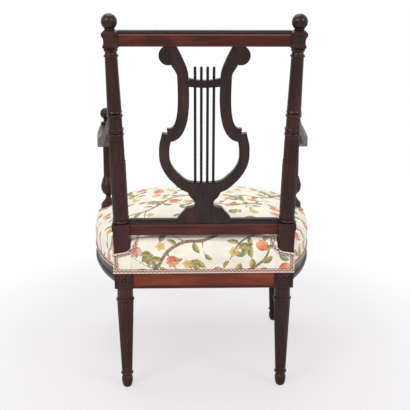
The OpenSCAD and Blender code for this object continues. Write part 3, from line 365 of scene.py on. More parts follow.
def cushion_loop(step):
    """Points round the cushion with the way inward at each, and how far each belongs to the rear wall."""
    rim = spaced(shifted(seat_rim(), CLOTH), step)
    way = directions(rim)
    rim_in = np.column_stack([way[:, 1], -way[:, 0]])
    corner_in = rim_in[0] * 0.5 + np.array([-0.5, -0.5])
    corner_in /= np.linalg.norm(corner_in)
    parts = []

    def run(a, b, way_a, way_b, back_a, back_b):
        line = spaced([a, b], step)[:-1]
        t = np.linspace(0, 1, len(line) + 1)[:-1, None]
        turn = np.array(way_a) * (1 - t) + np.array(way_b) * t
        parts.append((line, turn, back_a * (1 - t[:, 0]) + back_b * t[:, 0]))

    run((0, BACK_WALL), (NOTCH_X, BACK_WALL), (0, -1), (0, -1), 1, 1)
    run((NOTCH_X, BACK_WALL), (NOTCH_X, NOTCH_Y), (0, -1), corner_in, 1, 0)
    run((NOTCH_X, NOTCH_Y), rim[0], corner_in, rim_in[0], 0, 0)
    rim[-1][0], rim_in[-1] = 0.0, (0.0, 1.0)
    parts.append((rim, rim_in, np.zeros(len(rim))))
    place, inward, back = (np.concatenate([p[k] for p in parts]) for k in range(3))
    flip = slice(-2, 0, -1)
    place = np.vstack([place, place[flip] * [-1, 1]])
    inward = np.vstack([inward, inward[flip] * [-1, 1]])
    return place, inward, np.concatenate([back, back[flip]])


# Rings up the side: shares of the roll by which each bulges at the sides and on the rear wall, and its height
SIDE_RINGS = ((0, 0, 0), (0, 0.05, 0.11), (0.08, 0.17, 0.35), (0.12, 0.27, 0.60), (-0.08, 0.30, 0.86),
              (-0.46, 0.02, 0.96), (-1, -1, 1))
# Rings over the top, in shares of the way from the middle to the roll
TOP_RINGS = (0.86, 0.72, 0.56, 0.40, 0.26, 0.13, 0.04)
STRAIGHT_REAR = 180.0


def cushion_mesh(step):
    """Rings of the cushion from the rail to the crown, smoothed, with the cloth's own flat coordinates."""
    place, inward, back = cushion_loop(step)
    rings = []
    near = np.clip(place[:, 1] / STRAIGHT_REAR + 1, 0, 1)
    near = near * near * (3 - 2 * near)
    for side, rear, rise in SIDE_RINGS:
        reach = back * rear + (1 - back) * (side * (1 - near) if side > 0 else side)
        q = place - inward * (reach * ROLL)[:, None]
        rings.append(np.column_stack([q, RAIL_TOP + rise * edge_height(q)]))
    inner = place + inward * ROLL
    for share in TOP_RINGS:
        q = MIDDLE + (inner - MIDDLE) * share
        rings.append(np.column_stack([q, RAIL_TOP + edge_height(q) + CROWN * (1 - share ** 2.2)]))
    edge = len(SIDE_RINGS) - 1
    dense, edge_row = [], 0
    for k in range(len(rings) - 1):
        if k == edge:
            edge_row = len(dense)
        steps = max(int(round(np.median(np.linalg.norm(rings[k + 1] - rings[k], axis=1)) / step)), 2)
        a, b, c, d = (rings[min(max(k + j, 0), len(rings) - 1)] for j in (-1, 0, 1, 2))
        dense += [bend(a, b, c, d, j / steps) for j in range(steps)]
    dense.append(rings[-1])
    cloth = [None] * len(dense)
    for row in range(edge_row, len(dense)):
        cloth[row] = dense[row][:, :2].copy()
    reach = np.zeros(len(place))
    for row in range(edge_row - 1, -1, -1):
        reach = reach + np.linalg.norm(dense[row] - dense[row + 1], axis=1)
        cloth[row] = dense[edge_row][:, :2] - inward * reach[:, None]
    return np.array(dense), np.array(cloth)


# Printed cloth: flowering branches of one repeat, drawn as distances in the cloth's flat coordinates
REPEAT = np.array([236.0, 214.0])
# Branches are points with half widths, leaves and buds are (x, y, turn, length, width), blossoms (x, y, size)
# and sprigs (x, y, turn, length)
BRANCHES = (
    ((8, 18, 3.6), (34, 34, 3.4), (66, 36, 3.0), (96, 54, 2.8), (116, 88, 3.2), (140, 116, 2.8),
     (176, 124, 2.4), (208, 150, 1.8), (222, 178, 1.1)),
    ((236, 196, 1.6), (214, 204, 2.2), (184, 196, 2.6), (160, 176, 2.2), (150, 150, 1.2)),
    ((0, 196, 1.6), (18, 190, 1.4), (44, 196, 1.0), (66, 190, 0.6)),
    ((66, 36, 1.2), (88, 18, 0.9), (112, 12, 0.6)),
    ((96, 54, 1.2), (84, 84, 0.9), (62, 106, 0.6)),
    ((140, 116, 1.2), (142, 146, 0.9), (128, 176, 0.6)),
    ((176, 124, 1.0), (200, 108, 0.8), (216, 84, 0.5)),
    ((34, 34, 0.9), (30, 60, 0.7), (14, 80, 0.5)),
    ((116, 88, 1.0), (142, 76, 0.8), (166, 52, 0.6), (168, 30, 0.5)))
OLIVE_LEAVES = (
    (50, 36, 118, 24, 10), (80, 44, -40, 22, 9), (104, 68, 12, 26, 12), (110, 84, 150, 24, 11),
    (128, 100, -30, 24, 10), (150, 120, 66, 26, 11), (186, 130, 100, 22, 9), (204, 146, -12, 24, 10),
    (142, 150, 28, 20, 9), (88, 70, 190, 20, 8), (30, 58, 140, 18, 8), (200, 108, 28, 20, 8),
    (150, 66, -70, 20, 8), (222, 178, 60, 20, 8), (20, 24, 226, 22, 9), (44, 68, 58, 24, 12),
    (44, 68, 96, 26, 12), (44, 68, 132, 24, 11), (122, 60, 36, 24, 12), (122, 60, 74, 24, 12),
    (122, 60, -2, 22, 11), (184, 150, 14, 24, 12), (184, 150, 52, 26, 12), (184, 150, 92, 24, 11),
    (214, 204, 200, 24, 12), (214, 204, 240, 24, 11), (184, 196, 264, 22, 11), (166, 182, 210, 24, 12),
    (18, 190, 70, 22, 11), (44, 196, 250, 22, 11), (66, 190, 40, 22, 10), (8, 130, 60, 24, 11),
    (8, 130, 100, 22, 11), (70, 148, 40, 22, 11), (70, 148, 80, 24, 11), (214, 20, 110, 24, 12),
    (214, 20, 150, 24, 11), (150, 196, 20, 22, 10))
BLUE_LEAVES = (
    (98, 16, 62, 24, 11), (92, 18, -112, 22, 10), (72, 96, 106, 26, 11), (70, 98, 206, 22, 9),
    (134, 164, 146, 24, 10), (166, 48, 20, 24, 11), (212, 92, -30, 22, 9), (216, 160, 160, 24, 10),
    (120, 92, -84, 22, 9))
CORAL_BUDS = ((58, 110, 128, 24, 10), (126, 182, 112, 26, 10), (220, 74, -60, 22, 9), (82, 62, 66, 26, 10),
              (168, 160, 250, 24, 10), (64, 196, 200, 24, 10))
PINK_BUDS = ((116, 10, 4, 22, 9), (12, 86, 128, 20, 8), (152, 44, 96, 22, 9), (206, 204, 20, 20, 8),
             (24, 168, 30, 20, 8))
BLOSSOMS = ((168, 20, 11), (36, 150, 9), (88, 204, 8), (60, 78, 10), (108, 44, 9), (214, 162, 10),
            (132, 140, 9), (190, 80, 10))
SPRIGS = ((36, 150, 250, 34), (88, 204, 300, 26), (186, 196, 120, 24), (190, 14, 40, 18))
# Petals of a bud: side, share of its length, swing; and the leaves of a sprig: share of its length, swing
BUD_PETALS = ((0, 1.0, 0), (1, 0.92, 21), (-1, 0.92, -21), (1, 0.7, 42), (-1, 0.7, -42))
SPRIG_LEAVES = ((0.35, 50), (0.55, -50), (0.8, 42), (1.0, -30))
BLOSSOM_PETALS = 5


def turned(p, at, degrees):
    c, s = cos(radians(degrees)), sin(radians(degrees))
    d = p - np.array(at, float)
    return np.column_stack([d[:, 0] * c + d[:, 1] * s, -d[:, 0] * s + d[:, 1] * c])


def rod(p, a, b, low, high):
    a, b = np.array(a, float), np.array(b, float)
    t = np.clip(((p - a) @ (b - a)) / ((b - a) @ (b - a)), 0, 1)
    return np.linalg.norm(p - a - t[:, None] * (b - a), axis=1) - (low + (high - low) * t)


def oval(q, length, width):
    """Distance to a pointed oval from its foot along X."""
    radius = (length * length / 4 + width * width / 4) / width
    return np.hypot(q[:, 0] - length / 2, np.abs(q[:, 1]) + radius - width / 2) - radius


def stem(p, a, b):
    """A stretch of branch, with a half width at each end."""
    return rod(p, a[:2], b[:2], a[2], b[2]), None


def in_leaf(p, x, y, turn, length):
    """Points in the axes of a leaf that bends to one side."""
    q = turned(p, (x, y), turn)
    q[:, 1] += 0.10 * length * np.sin(np.clip(q[:, 0] / length, 0, 1) * pi)
    return q


def leaf(p, x, y, turn, length, width):
    """A leaf with a lobed edge, lighter on one side of its rib."""
    q = in_leaf(p, x, y, turn, length)
    return oval(q, length, width) + np.abs(np.sin(q[:, 0] * 0.52)) - 0.5, q[:, 1] / width


def leaf_veins(p, x, y, turn, length, width):
    q = in_leaf(p, x, y, turn, length)
    rib = rod(q, (-2, 0), (length * 0.86, 0), 0.45, 0.15)
    slant = np.abs((q[:, 0] - np.abs(q[:, 1]) * 0.9 + 60) % 5.2 - 2.6) - 0.12
    return np.minimum(rib, np.maximum(slant * 0.7, oval(q, length, width * 0.82))), None


def petal(p, x, y, turn, length, width, foot=-0.5):
    """A pointed petal, lighter towards its tip."""
    q = turned(p, (x, y), turn)
    return oval(q, length, width), q[:, 0] / length + foot


def small_leaf(p, x, y, turn, length, width):
    q = turned(p, (x, y), turn)
    return oval(q, length, width), q[:, 1] / 5


def crease(p, x, y, turn, length, width):
    return np.abs(oval(turned(p, (x, y), turn), length, width)) - 0.16, None


def eye(p, x, y, radius):
    return np.hypot(p[:, 0] - x, p[:, 1] - y) - radius, p[:, 0] * 0


def motif_shapes():
    """(field, place, reach, shape, sizes) for one repeat; a shape gives its distance and tone at points."""
    shapes = []

    def put(field, at, reach, shape, *sizes):
        shapes.append((field, at, reach, shape, sizes))

    for branch in BRANCHES:
        line = smooth(branch, 3)
        for a, b in zip(line[:-1], line[1:]):
            put("branch", (a[:2] + b[:2]) / 2, 30, stem, a, b)
    for field, leaves in (("olive", OLIVE_LEAVES), ("blue", BLUE_LEAVES)):
        for sizes in leaves:
            put(field, sizes[:2], 42, leaf, *sizes)
            put("vein", sizes[:2], 42, leaf_veins, *sizes)
    for field, buds in (("coral", CORAL_BUDS), ("pink", PINK_BUDS)):
        for x, y, turn, length, width in buds:
            for side, share, swing in BUD_PETALS:
                put(field, (x, y), 42, petal, x, y, turn + swing, length * share,
                    width * (1 - 0.3 * abs(side)), 0.25 * side - 0.5)
            put("vein", (x, y), 42, crease, x, y, turn + 8, length * 0.8, width * 0.45)
            for swing in (-46, 46):
                put("olive", (x, y), 30, small_leaf, x, y, turn + swing, 10, 4)
    for x, y, size in BLOSSOMS:
        for i in range(BLOSSOM_PETALS):
            put("yellow", (x, y), 30, petal, x, y, i * 360 / BLOSSOM_PETALS, size, size * 0.72)
        put("coral", (x, y), 20, eye, x, y, size * 0.2)
    for x, y, turn, length in SPRIGS:
        way = np.array([cos(radians(turn)), sin(radians(turn))])
        put("branch", (x, y), 46, stem, (x, y, 0.4), (*(way * length + (x, y)), 0.6))
        for share, swing in SPRIG_LEAVES:
            at = way * length * share + (x, y)
            put("olive", at, 24, small_leaf, *at, turn + swing, 11, 4.6)
    return shapes


# Paints: dark and light colour, cover, and the low and high tone between which they change
PAINTS = {"branch": ((92, 72, 58), (170, 140, 104), 0.94, None),
          "olive": ((112, 108, 50), (200, 176, 84), 0.92, (-0.30, 0.35)),
          "blue": ((84, 108, 92), (150, 160, 116), 0.90, (-0.35, 0.35)),
          "coral": ((214, 98, 66), (244, 164, 106), 0.90, (-0.5, 0.5)),
          "pink": ((202, 108, 108), (238, 176, 162), 0.88, (-0.5, 0.5)),
          "yellow": ((214, 162, 66), (244, 212, 128), 0.90, (-0.5, 0.5))}
FIELDS = (*PAINTS, "vein")
FAR, OVERHANG = 12.0, 50
PRINT_SCALE, PRINT_SHIFT = 1.4, (31.0, 14.0)


def print_fields(cloth):
    """Signed distances of the print at the cloth's flat points, and a tone inside each motif."""
    fields = {name: np.full(len(cloth), FAR) for name in FIELDS}
    tone = np.zeros(len(cloth))
    nearest = np.full(len(cloth), FAR)
    low, high = np.floor(cloth.min(0) / REPEAT).astype(int) - 1, np.ceil(cloth.max(0) / REPEAT).astype(int) + 1
    shapes = motif_shapes()
    for column in range(low[0], high[0] + 1):
        for row in range(low[1], high[1] + 1):
            origin = REPEAT * [column, row + 0.5 * (column % 2)]
            local = cloth - origin
            inside = np.nonzero((local > -OVERHANG).all(1) & (local < REPEAT + OVERHANG).all(1))[0]
            if not len(inside):
                continue
            for field, at, reach, shape, sizes in shapes:
                close = inside[(np.abs(local[inside] - at) < reach).all(1)]
                if not len(close):
                    continue
                distance, shade = shape(local[close], *sizes)
                fields[field][close] = np.minimum(fields[field][close], distance)
                if shade is not None:
                    better = distance < nearest[close]
                    tone[close[better]] = shade[better]
                    nearest[close[better]] = distance[better]
    return fields, tone


def cloth_material():
    material, place = new_material("printed_cloth")
    wobble = times(calc("SUBTRACT", noise(place, 420.0, 3.0), 0.5), 2.2)
    paint = calc("SUBTRACT", noise(place, 150.0, 4.0), 0.5)
    tone = plus(attribute(place, "tone"), times(paint, 0.9))
    wash = noise(place, 22.0, 3.0)
    colour = mix(ramp(wash, 0.35, 0.7), (250, 245, 230), (242, 234, 218))
    bark = ramp(noise(place, 300.0, 2.0), 0.42, 0.58)
    for name, (dark, light, cover, tones) in PAINTS.items():
        edge = plus(attribute(place, name), wobble)
        inside = ramp(edge, 0.35, -0.35, 0.0, cover)
        share = ramp(tone, *tones) if tones else bark
        rim = ramp(edge, -1.8, -0.4, 0.0, 0.55)
        dab = mix(rim, mix(share, dark, light), tuple(v * 0.62 for v in dark))
        colour = mix(inside, colour, dab)
    lines = plus(attribute(place, "vein"), times(wobble, 0.25))
    colour = mix(ramp(lines, 0.32, -0.12, 0.0, 0.7), colour, (84, 76, 42))
    weave = [wave(place, way, 420.0, 1.2) for way in "XYZ"]
    height = plus(plus(weave[0], weave[1]), plus(weave[2], noise(place, 900.0)))
    thread = ramp(noise(place, 1400.0, 2.0), 0.3, 0.7, 0.0, 0.10)
    colour = mix(thread, colour, (206, 196, 176))
    finish_material(colour, height, 0.09 * MM, {
        "Roughness": 0.85, "Sheen Weight": 0.12, "Sheen Roughness": 0.5, "Specular IOR Level": 0.25})
    return material


# Meshes
def make_object(name, points, faces, material, smooth_faces=True):
    mesh = bpy.data.meshes.new(name)
    places = [tuple(p) for p in np.asarray(points, float) * MM]
    mesh.from_pydata(places, [], [tuple(int(i) for i in face) for face in faces])
    mesh.validate()
    closed = bmesh.new()
    closed.from_mesh(mesh)
    bmesh.ops.recalc_face_normals(closed, faces=closed.faces)
    closed.to_mesh(mesh)
    closed.free()
    if smooth_faces:
        mesh.polygons.foreach_set("use_smooth", [True] * len(mesh.polygons))
    mesh.materials.append(material)
    return link(name, mesh)


def store(mesh, name, values):
    layer = mesh.attributes.get(name) or mesh.attributes.new(name, "FLOAT", "POINT")
    layer.data.foreach_set("value", np.asarray(values, np.float32))


def from_rear(points):
    return np.asarray(points, float) + [0, REAR_Y, 0]


def on_back(x, out, rise):
    """A point of the raked back: across, out of its rear face, and up along it."""
    return np.array([x, REAR_Y + rise * sin(RAKE) + out * cos(RAKE),
                     RAIL_TOP + rise * cos(RAKE) - out * sin(RAKE)])


def grid_faces(rows, columns, closed=True):
    faces = []
    for r in range(rows - 1):
        low, high = r * columns, (r + 1) * columns
        for i in range(columns if closed else columns - 1):
            j = (i + 1) % columns
            faces.append((low + i, low + j, high + j, high + i))
    return faces


def settle(points):
    """Small moves of the stuffing: a dip round each support, and soft pulls towards posts and supports."""
    points = points.copy()
    x, y = points[..., 0], points[..., 1]
    high = np.clip((points[..., 2] - RAIL_TOP - 50) / 30, 0, 1)
    for side in (-1, 1):
        across, back = side * x - SUPPORT[0], y - SUPPORT[1]
        away, turn = np.hypot(across, back), np.arctan2(back, across)
        points[..., 2] -= high * 2.6 * np.exp(-((away - RING_R) / 13) ** 2)
        points[..., 2] += high * 0.7 * np.exp(-((away - 42) / 22) ** 2) * np.sin(7 * turn + 0.6)
        across, back = side * x - NOTCH_X, y - NOTCH_Y
        away, turn = np.hypot(across, back), np.arctan2(back, across)
        points[..., 2] += high * np.exp(-(away / 52) ** 2) * np.sin(9 * turn)
    roll = np.sin(x * 0.043 + 1.0) * np.sin(y * 0.031 + 0.5) + 0.6 * np.sin(x * 0.019 - y * 0.027)
    points[..., 2] += high * 0.9 * roll
    return points


# Bores for each arm support: radius, low and high end
SUPPORT_ROOMS = ((14.0, 300.0, 420.0), (22.2, RAIL_TOP + 83 - GAP, 470.0))
RING_STEP = 3.4
# The filled seat: Blender's Cloth under pressure, held along the gimp, on a coarse copy of the cushion
VOXEL, SHRINK, PRESSURE, FRAMES, MOST_MOVE = 11.0, 3.0, 4.0, 20, 5.0
STEPS, MASS, STIFFNESS, BENDING = 5, 0.3, 15, 0.5
NAILED, FEATHER, FREE = 22, 12, 0.02


def held_share(q):
    """How firmly the cloth is nailed, from 1 along the gimp to 0, at points given from the rear leg axes."""
    foot = np.clip((RAIL_TOP + NAILED - q[:, 2]) / FEATHER, 0, 1)
    x = np.abs(q[:, 0])
    post = np.hypot(np.maximum(NOTCH_X - x, 0), np.maximum(NOTCH_Y - q[:, 1], 0))
    ring = np.hypot(x - SUPPORT[0], q[:, 1] - SUPPORT[1]) - RING_R
    return np.maximum(foot, np.clip(1 - np.minimum(post, ring) / FEATHER, 0, 1))


def vectors(mesh, name):
    values = np.zeros(len(mesh.vertices) * 3)
    mesh.vertices.foreach_get(name, values)
    return values.reshape(-1, 3)


def swell(points, faces, material):
    """The cushion's points after the simulation, which bulges the cloth where it is free."""
    copy = make_object("seat_form", from_rear(points), faces, material)
    apply_modifier(copy, "REMESH", {"mode": "VOXEL", "voxel_size": VOXEL * MM})
    rest, normal = vectors(copy.data, "co") / MM, vectors(copy.data, "normal")
    held = held_share(rest - [0, REAR_Y, 0])
    start = rest - normal * (SHRINK * (1 - held))[:, None]
    copy.data.vertices.foreach_set("co", (start * MM).ravel())
    group = copy.vertex_groups.new(name="held")
    for i in np.nonzero(held > FREE)[0]:
        group.add([int(i)], float(held[i]), "REPLACE")
    cloth = copy.modifiers.new("cloth", "CLOTH")
    how = cloth.settings
    how.quality, how.mass, how.bending_stiffness = STEPS, MASS, BENDING
    how.tension_stiffness = how.compression_stiffness = STIFFNESS
    how.use_pressure, how.uniform_pressure_force = True, PRESSURE
    how.vertex_group_mass, how.effector_weights.gravity = group.name, 0
    cloth.point_cache.frame_start, cloth.point_cache.frame_end = 1, FRAMES
    scene = bpy.context.scene
    for step in range(1, FRAMES + 1):
        scene.frame_set(step)
    done = copy.evaluated_get(bpy.context.evaluated_depsgraph_get()).data
    move = vectors(done, "co") / MM - rest
    scene.frame_set(1)
    outward = (move * normal).sum(1)
    move -= normal * ((1 - held) * np.median(outward[held < FREE]))[:, None]
    size = np.linalg.norm(move, axis=1)[:, None]
    move *= np.minimum(1, MOST_MOVE / np.maximum(size, 1e-6))
    tree = KDTree(len(rest))
    for i, place in enumerate(rest):
        tree.insert(place, i)
    tree.balance()
    moved = points.copy()
    for k, place in enumerate(from_rear(points)):
        found = tree.find_n(place, 5)
        weight = np.array([1 / (f[2] + 2.0) ** 2 for f in found])
        moved[k] += (move[[f[1] for f in found]] * weight[:, None]).sum(0) / weight.sum()
    bpy.data.objects.remove(copy)
    return moved


def cushion_skin():
    """Points, faces and flat coordinates of the cushion, closed over the crown and below."""
    dense, cloth = cushion_mesh(RING_STEP)
    rows, columns = dense.shape[:2]
    dense = settle(dense)
    floor = dense[0].copy()
    floor[:, 2] = STUFFING_LOW
    floor[:, :2] = MIDDLE + (floor[:, :2] - MIDDLE) * 0.99
    points = np.vstack([dense.reshape(-1, 3), dense[-1].mean(0), floor, [[*MIDDLE, STUFFING_LOW]]])
    flat = np.vstack([cloth.reshape(-1, 2), MIDDLE, cloth[0], [MIDDLE]])
    top, last = rows * columns, (rows - 1) * columns
    low, pairs = top + 1, [(i, (i + 1) % columns) for i in range(columns)]
    faces = grid_faces(rows, columns) + [(last + i, last + j, top) for i, j in pairs]
    faces += [(j, i, low + i, low + j) for i, j in pairs]
    faces += [(low + j, low + i, low + columns) for i, j in pairs]
    return points, faces, flat


def make_cushion(material):
    points, faces, flat = cushion_skin()
    loose = (points[:, 2] > RAIL_TOP + 4)[:, None]
    points = np.where(loose, swell(points, faces, material), points)
    thing = make_object("seat_cushion", from_rear(points), faces, material)
    store(thing.data, "flat_u", flat[:, 0])
    store(thing.data, "flat_v", flat[:, 1])
    for side in (-1, 1):
        for radius, low, high in SUPPORT_ROOMS:
            middle = (side * SUPPORT[0] * MM, (REAR_Y + SUPPORT[1]) * MM, (low + high) / 2 * MM)
            bpy.ops.mesh.primitive_cylinder_add(vertices=64, radius=radius * MM, depth=(high - low) * MM,
                                                location=middle)
            room = bpy.context.object
            apply_modifier(thing, "BOOLEAN", {"operation": "DIFFERENCE", "object": room, "solver": "EXACT"})
            bpy.data.objects.remove(room)
    dress_print(thing.data, np.column_stack([read(thing.data, "flat_u"), read(thing.data, "flat_v")]))
    return thing


def read(mesh, name):
    values = np.zeros(len(mesh.vertices), np.float32)
    mesh.attributes[name].data.foreach_get("value", values)
    return values.astype(float)


def dress_print(mesh, flat):
    fields, tone = print_fields(flat / PRINT_SCALE + PRINT_SHIFT)
    for name, values in fields.items():
        store(mesh, name, values * PRINT_SCALE)
    store(mesh, "tone", tone)


def apply_modifier(thing, kind, settings):
    modifier = thing.modifiers.new("step", kind)
    for key, value in settings.items():
        setattr(modifier, key, value)
    with bpy.context.temp_override(object=thing, active_object=thing, selected_objects=[thing]):
        bpy.ops.object.modifier_apply(modifier=modifier.name)


def thicken(thing, by):
    apply_modifier(thing, "SOLIDIFY", {"thickness": by * MM, "offset": 0.0})


# Cover flaps: the cloth goes on from the rear wall round the foot of each post
FLAP_LOW, FLAP_R, FLAT_FOOT = 3.5, 3.0, 109.0
# Upper edge of the flap and middle of the gimp over it: across and up, as shares of the pedestal
FLAP_TOP = ((-0.52, 0.455), (-0.30, 0.410), (0.10, 0.378), (0.53, 0.360))
GIMP_RISE = ((0.10, 0.378), (-0.30, 0.410), (-0.50, 0.455), (-0.62, 0.500), (-0.73, 0.555), (-0.84, 0.615),
             (-0.92, 0.660))


def make_flap(side, material):
    """Cloth round the rear and outer faces of one pedestal; side is 1 on the right and -1 on the left."""
    hand = "right" if side > 0 else "left"
    out, corner = PEDESTAL / 2 + GAP + CLOTH / 2, FLAP_X + CLOTH / 2
    turn = np.radians(np.linspace(90, 0, 7))[1:-1]
    arc = np.column_stack([corner - FLAP_R + FLAP_R * np.cos(turn), out - FLAP_R + FLAP_R * np.sin(turn)])
    plan = np.vstack([spaced([(NOTCH_X - 1, out), (corner - FLAP_R, out)], 3.0), arc,
                      spaced([(corner, out - FLAP_R), (corner, NOTCH_Y - CLOTH)], 3.0)])
    table = np.array(FLAP_TOP) * [PEDESTAL, PEDESTAL_H] + [POST_X, 0]
    tops = np.interp(plan[:, 0], table[:, 0], table[:, 1])
    run = travel(plan)
    rises = [FLAP_LOW + (tops - FLAP_LOW) * step for step in np.linspace(0, 1, 13)]
    points = [on_back(side * x, y + 0.25 * sin(run[i] * 0.21 + rise[i] * 0.1), rise[i])
              for rise in rises for i, (x, y) in enumerate(plan)]
    flap = make_object("cover_flap_" + hand, points, grid_faces(len(rises), len(plan), closed=False), material)
    flat = [(side * (NOTCH_X + at), FLAT_FOOT - up) for rise in rises for at, up in zip(run, rise)]
    dress_print(flap.data, np.array(flat))
    thicken(flap, 1.2)
    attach(flap, "root")
    return flap


# Gimp: a woven tape with a cord along each edge, a zigzag between them and a scalloped fringe
TOOTH = 10.2
GIMP_STEP = TOOTH / 8
TAPE, CORD, ZIGZAG = 0.0, 1.0, 2.0
FRONT_TURN, DIE_RISE, LIFT = 30.0, 5.6, 0.3
RING_GIMP_R, RING_GIMP_W = 26.5, 7.5


class Braid:
    """Strands gathered into one mesh, with a tint for each and the turns of its twist."""

    def __init__(self):
        self.points, self.faces, self.tint, self.twist = [], [], [], []

    def rows(self, rings, tint, twist):
        first, rows, columns = len(self.points), len(rings), len(rings[0])
        self.points += [p for ring in rings for p in ring]
        self.faces += [tuple(first + i for i in face) for face in grid_faces(rows, columns, closed=False)]
        self.tint += [tint] * (rows * columns)
        self.twist += list(twist)

    def strand(self, line, out, radius, tint, pitch=3.4, sides=7):
        way = directions(line)
        across = np.cross(way, out)
        across /= np.linalg.norm(across, axis=1)[:, None]
        up = np.cross(across, way)
        run = travel(line)
        turn = np.linspace(0, 2 * pi, sides)
        rings = [[line[i] + radius * (cos(a) * across[i] + sin(a) * up[i]) for a in turn]
                 for i in range(len(line))]
        self.rows(rings, tint, [run[i] / pitch + a / (2 * pi) for i in range(len(line)) for a in turn])

    def trim(self, path, out, across, width=GIMP_H):
        """A length of gimp: path is its centre line, out its face, and across its inner way, a point each."""
        run = travel(path)
        teeth = max(int(round(run[-1] / TOOTH)), 1)
        phase = (run / run[-1] * teeth)[:, None]
        half = width / 2
        tape = [[path[i] + across[i] * w + out[i] * h for w, h in (
            (-half, -0.4), (-half, 0.3), (half * 0.72, 0.3), (half * 0.72, -0.4))] for i in range(len(path))]
        self.rows(tape, TAPE, [r * 0.9 + w for r in run for w in (0, 0.1, 2.5, 2.6)])
        swing = 2 * np.abs(2 * (phase % 1) - 1) - 1
        self.strand(path + across * (-half + 0.9) + out * 0.6, out, 1.05, CORD)
        self.strand(path + across * (half * 0.60) + out * 0.5, out, 0.7, CORD)
        self.strand(path + across * (half * 0.05 + half * 0.52 * swing) + out * 0.75, out, 1.05, ZIGZAG)
        scallop = np.abs(np.sin(phase * 2 * pi))
        edge = path + across * (half * 0.74 + half * 0.26 * scallop) + out * 0.35
        self.strand(edge, out, 0.55, ZIGZAG, sides=6)


# Dark and light twist of each strand
GIMP_CORD = ((228, 204, 190), (250, 236, 224))
GIMP_TAPE = ((228, 196, 184), (244, 218, 206))
GIMP_TOOTH = ((104, 54, 56), (148, 88, 88))


def gimp_material():
    material, place = new_material("gimp_braid")
    tint, fuzz = attribute(place, "tint"), noise(place, 900.0, 3.0)
    ply = calc("SINE", times(attribute(place, "twist"), 2 * pi))
    tape, cord, tooth = (mix(share, dark, light) for share, (dark, light) in (
        (fuzz, GIMP_TAPE), (ramp(ply, -0.8, 0.8), GIMP_CORD), (ramp(ply, -0.8, 0.8), GIMP_TOOTH)))
    colour = mix(ramp(tint, 0.4, 0.6), tape, cord)
    colour = mix(ramp(tint, 1.4, 1.6), colour, tooth)
    worn = ramp(noise(place, 60.0, 3.0), 0.45, 0.75, 0.0, 0.25)
    colour = mix(worn, colour, (226, 206, 192))
    finish_material(colour, plus(times(ply, 0.5), fuzz), 0.25 * MM, {
        "Roughness": 0.7, "Sheen Weight": 0.2, "Sheen Roughness": 0.4, "Specular IOR Level": 0.35})
    return material


def foot_loop():
    """Centre line of the gimp round the cover's foot, with its outward way, from the right rear corner."""
    side_x = FLAP_X + CLOTH + GAP
    rear = BACK_WALL + GIMP_H * tan(RAKE) + GAP
    rim = shifted(seat_rim(), CLOTH + GAP)
    half = np.vstack([spaced([(0, rear), (side_x - 2, rear)], GIMP_STEP), [(side_x - 0.6, rear - 0.6)],
                      spaced([(side_x, rear - 2), (side_x, NOTCH_Y - CLOTH)], GIMP_STEP),
                      spaced(rim[1:], GIMP_STEP)])
    half[-1][0] = 0.0
    loop = np.vstack([half, half[-2:0:-1] * [-1, 1]])
    run = np.roll(loop, -1, axis=0) - np.roll(loop, 1, axis=0)
    run /= np.linalg.norm(run, axis=1)[:, None]
    return loop, np.column_stack([-run[:, 1], run[:, 0]])


def over_front_dies(loop):
    """How far the gimp rises to pass over the front dies."""
    turn, rise = radians(FRONT_TURN), np.zeros(len(loop))
    for side in (-1, 1):
        q = (loop - [side * FRONT_X, -LEG_DEPTH]) * [side, 1]
        u = q[:, 0] * cos(turn) + q[:, 1] * sin(turn)
        v = -q[:, 0] * sin(turn) + q[:, 1] * cos(turn)
        away = np.maximum(np.abs(u), np.abs(v)) - DIE_HALF
        rise = np.maximum(rise, DIE_RISE * (1 - np.clip((away - 2) / 9, 0, 1)))
    return rise * rise * (3 - 2 * rise / DIE_RISE) / DIE_RISE


def surface_at(tree, start, way):
    """The point where a ray meets the cover, lifted off it, and the cover's normal there."""
    hit, normal, _, _ = tree.ray_cast(Vector(start) * MM, Vector(way))
    if hit is None:
        return None
    normal = np.array(normal) * (-1 if normal.dot(Vector(way)) > 0 else 1)
    return np.array(hit) / MM + normal * LIFT, normal


def gimp_on_foot(braid):
    loop, out = foot_loop()
    path = from_rear(np.column_stack([loop, RAIL_TOP + over_front_dies(loop)]))
    rows = path, np.column_stack([out, np.zeros(len(out))]), np.tile([0.0, 0.0, 1.0], (len(path), 1))
    braid.trim(*(np.vstack([row, row[:1]]) for row in rows))


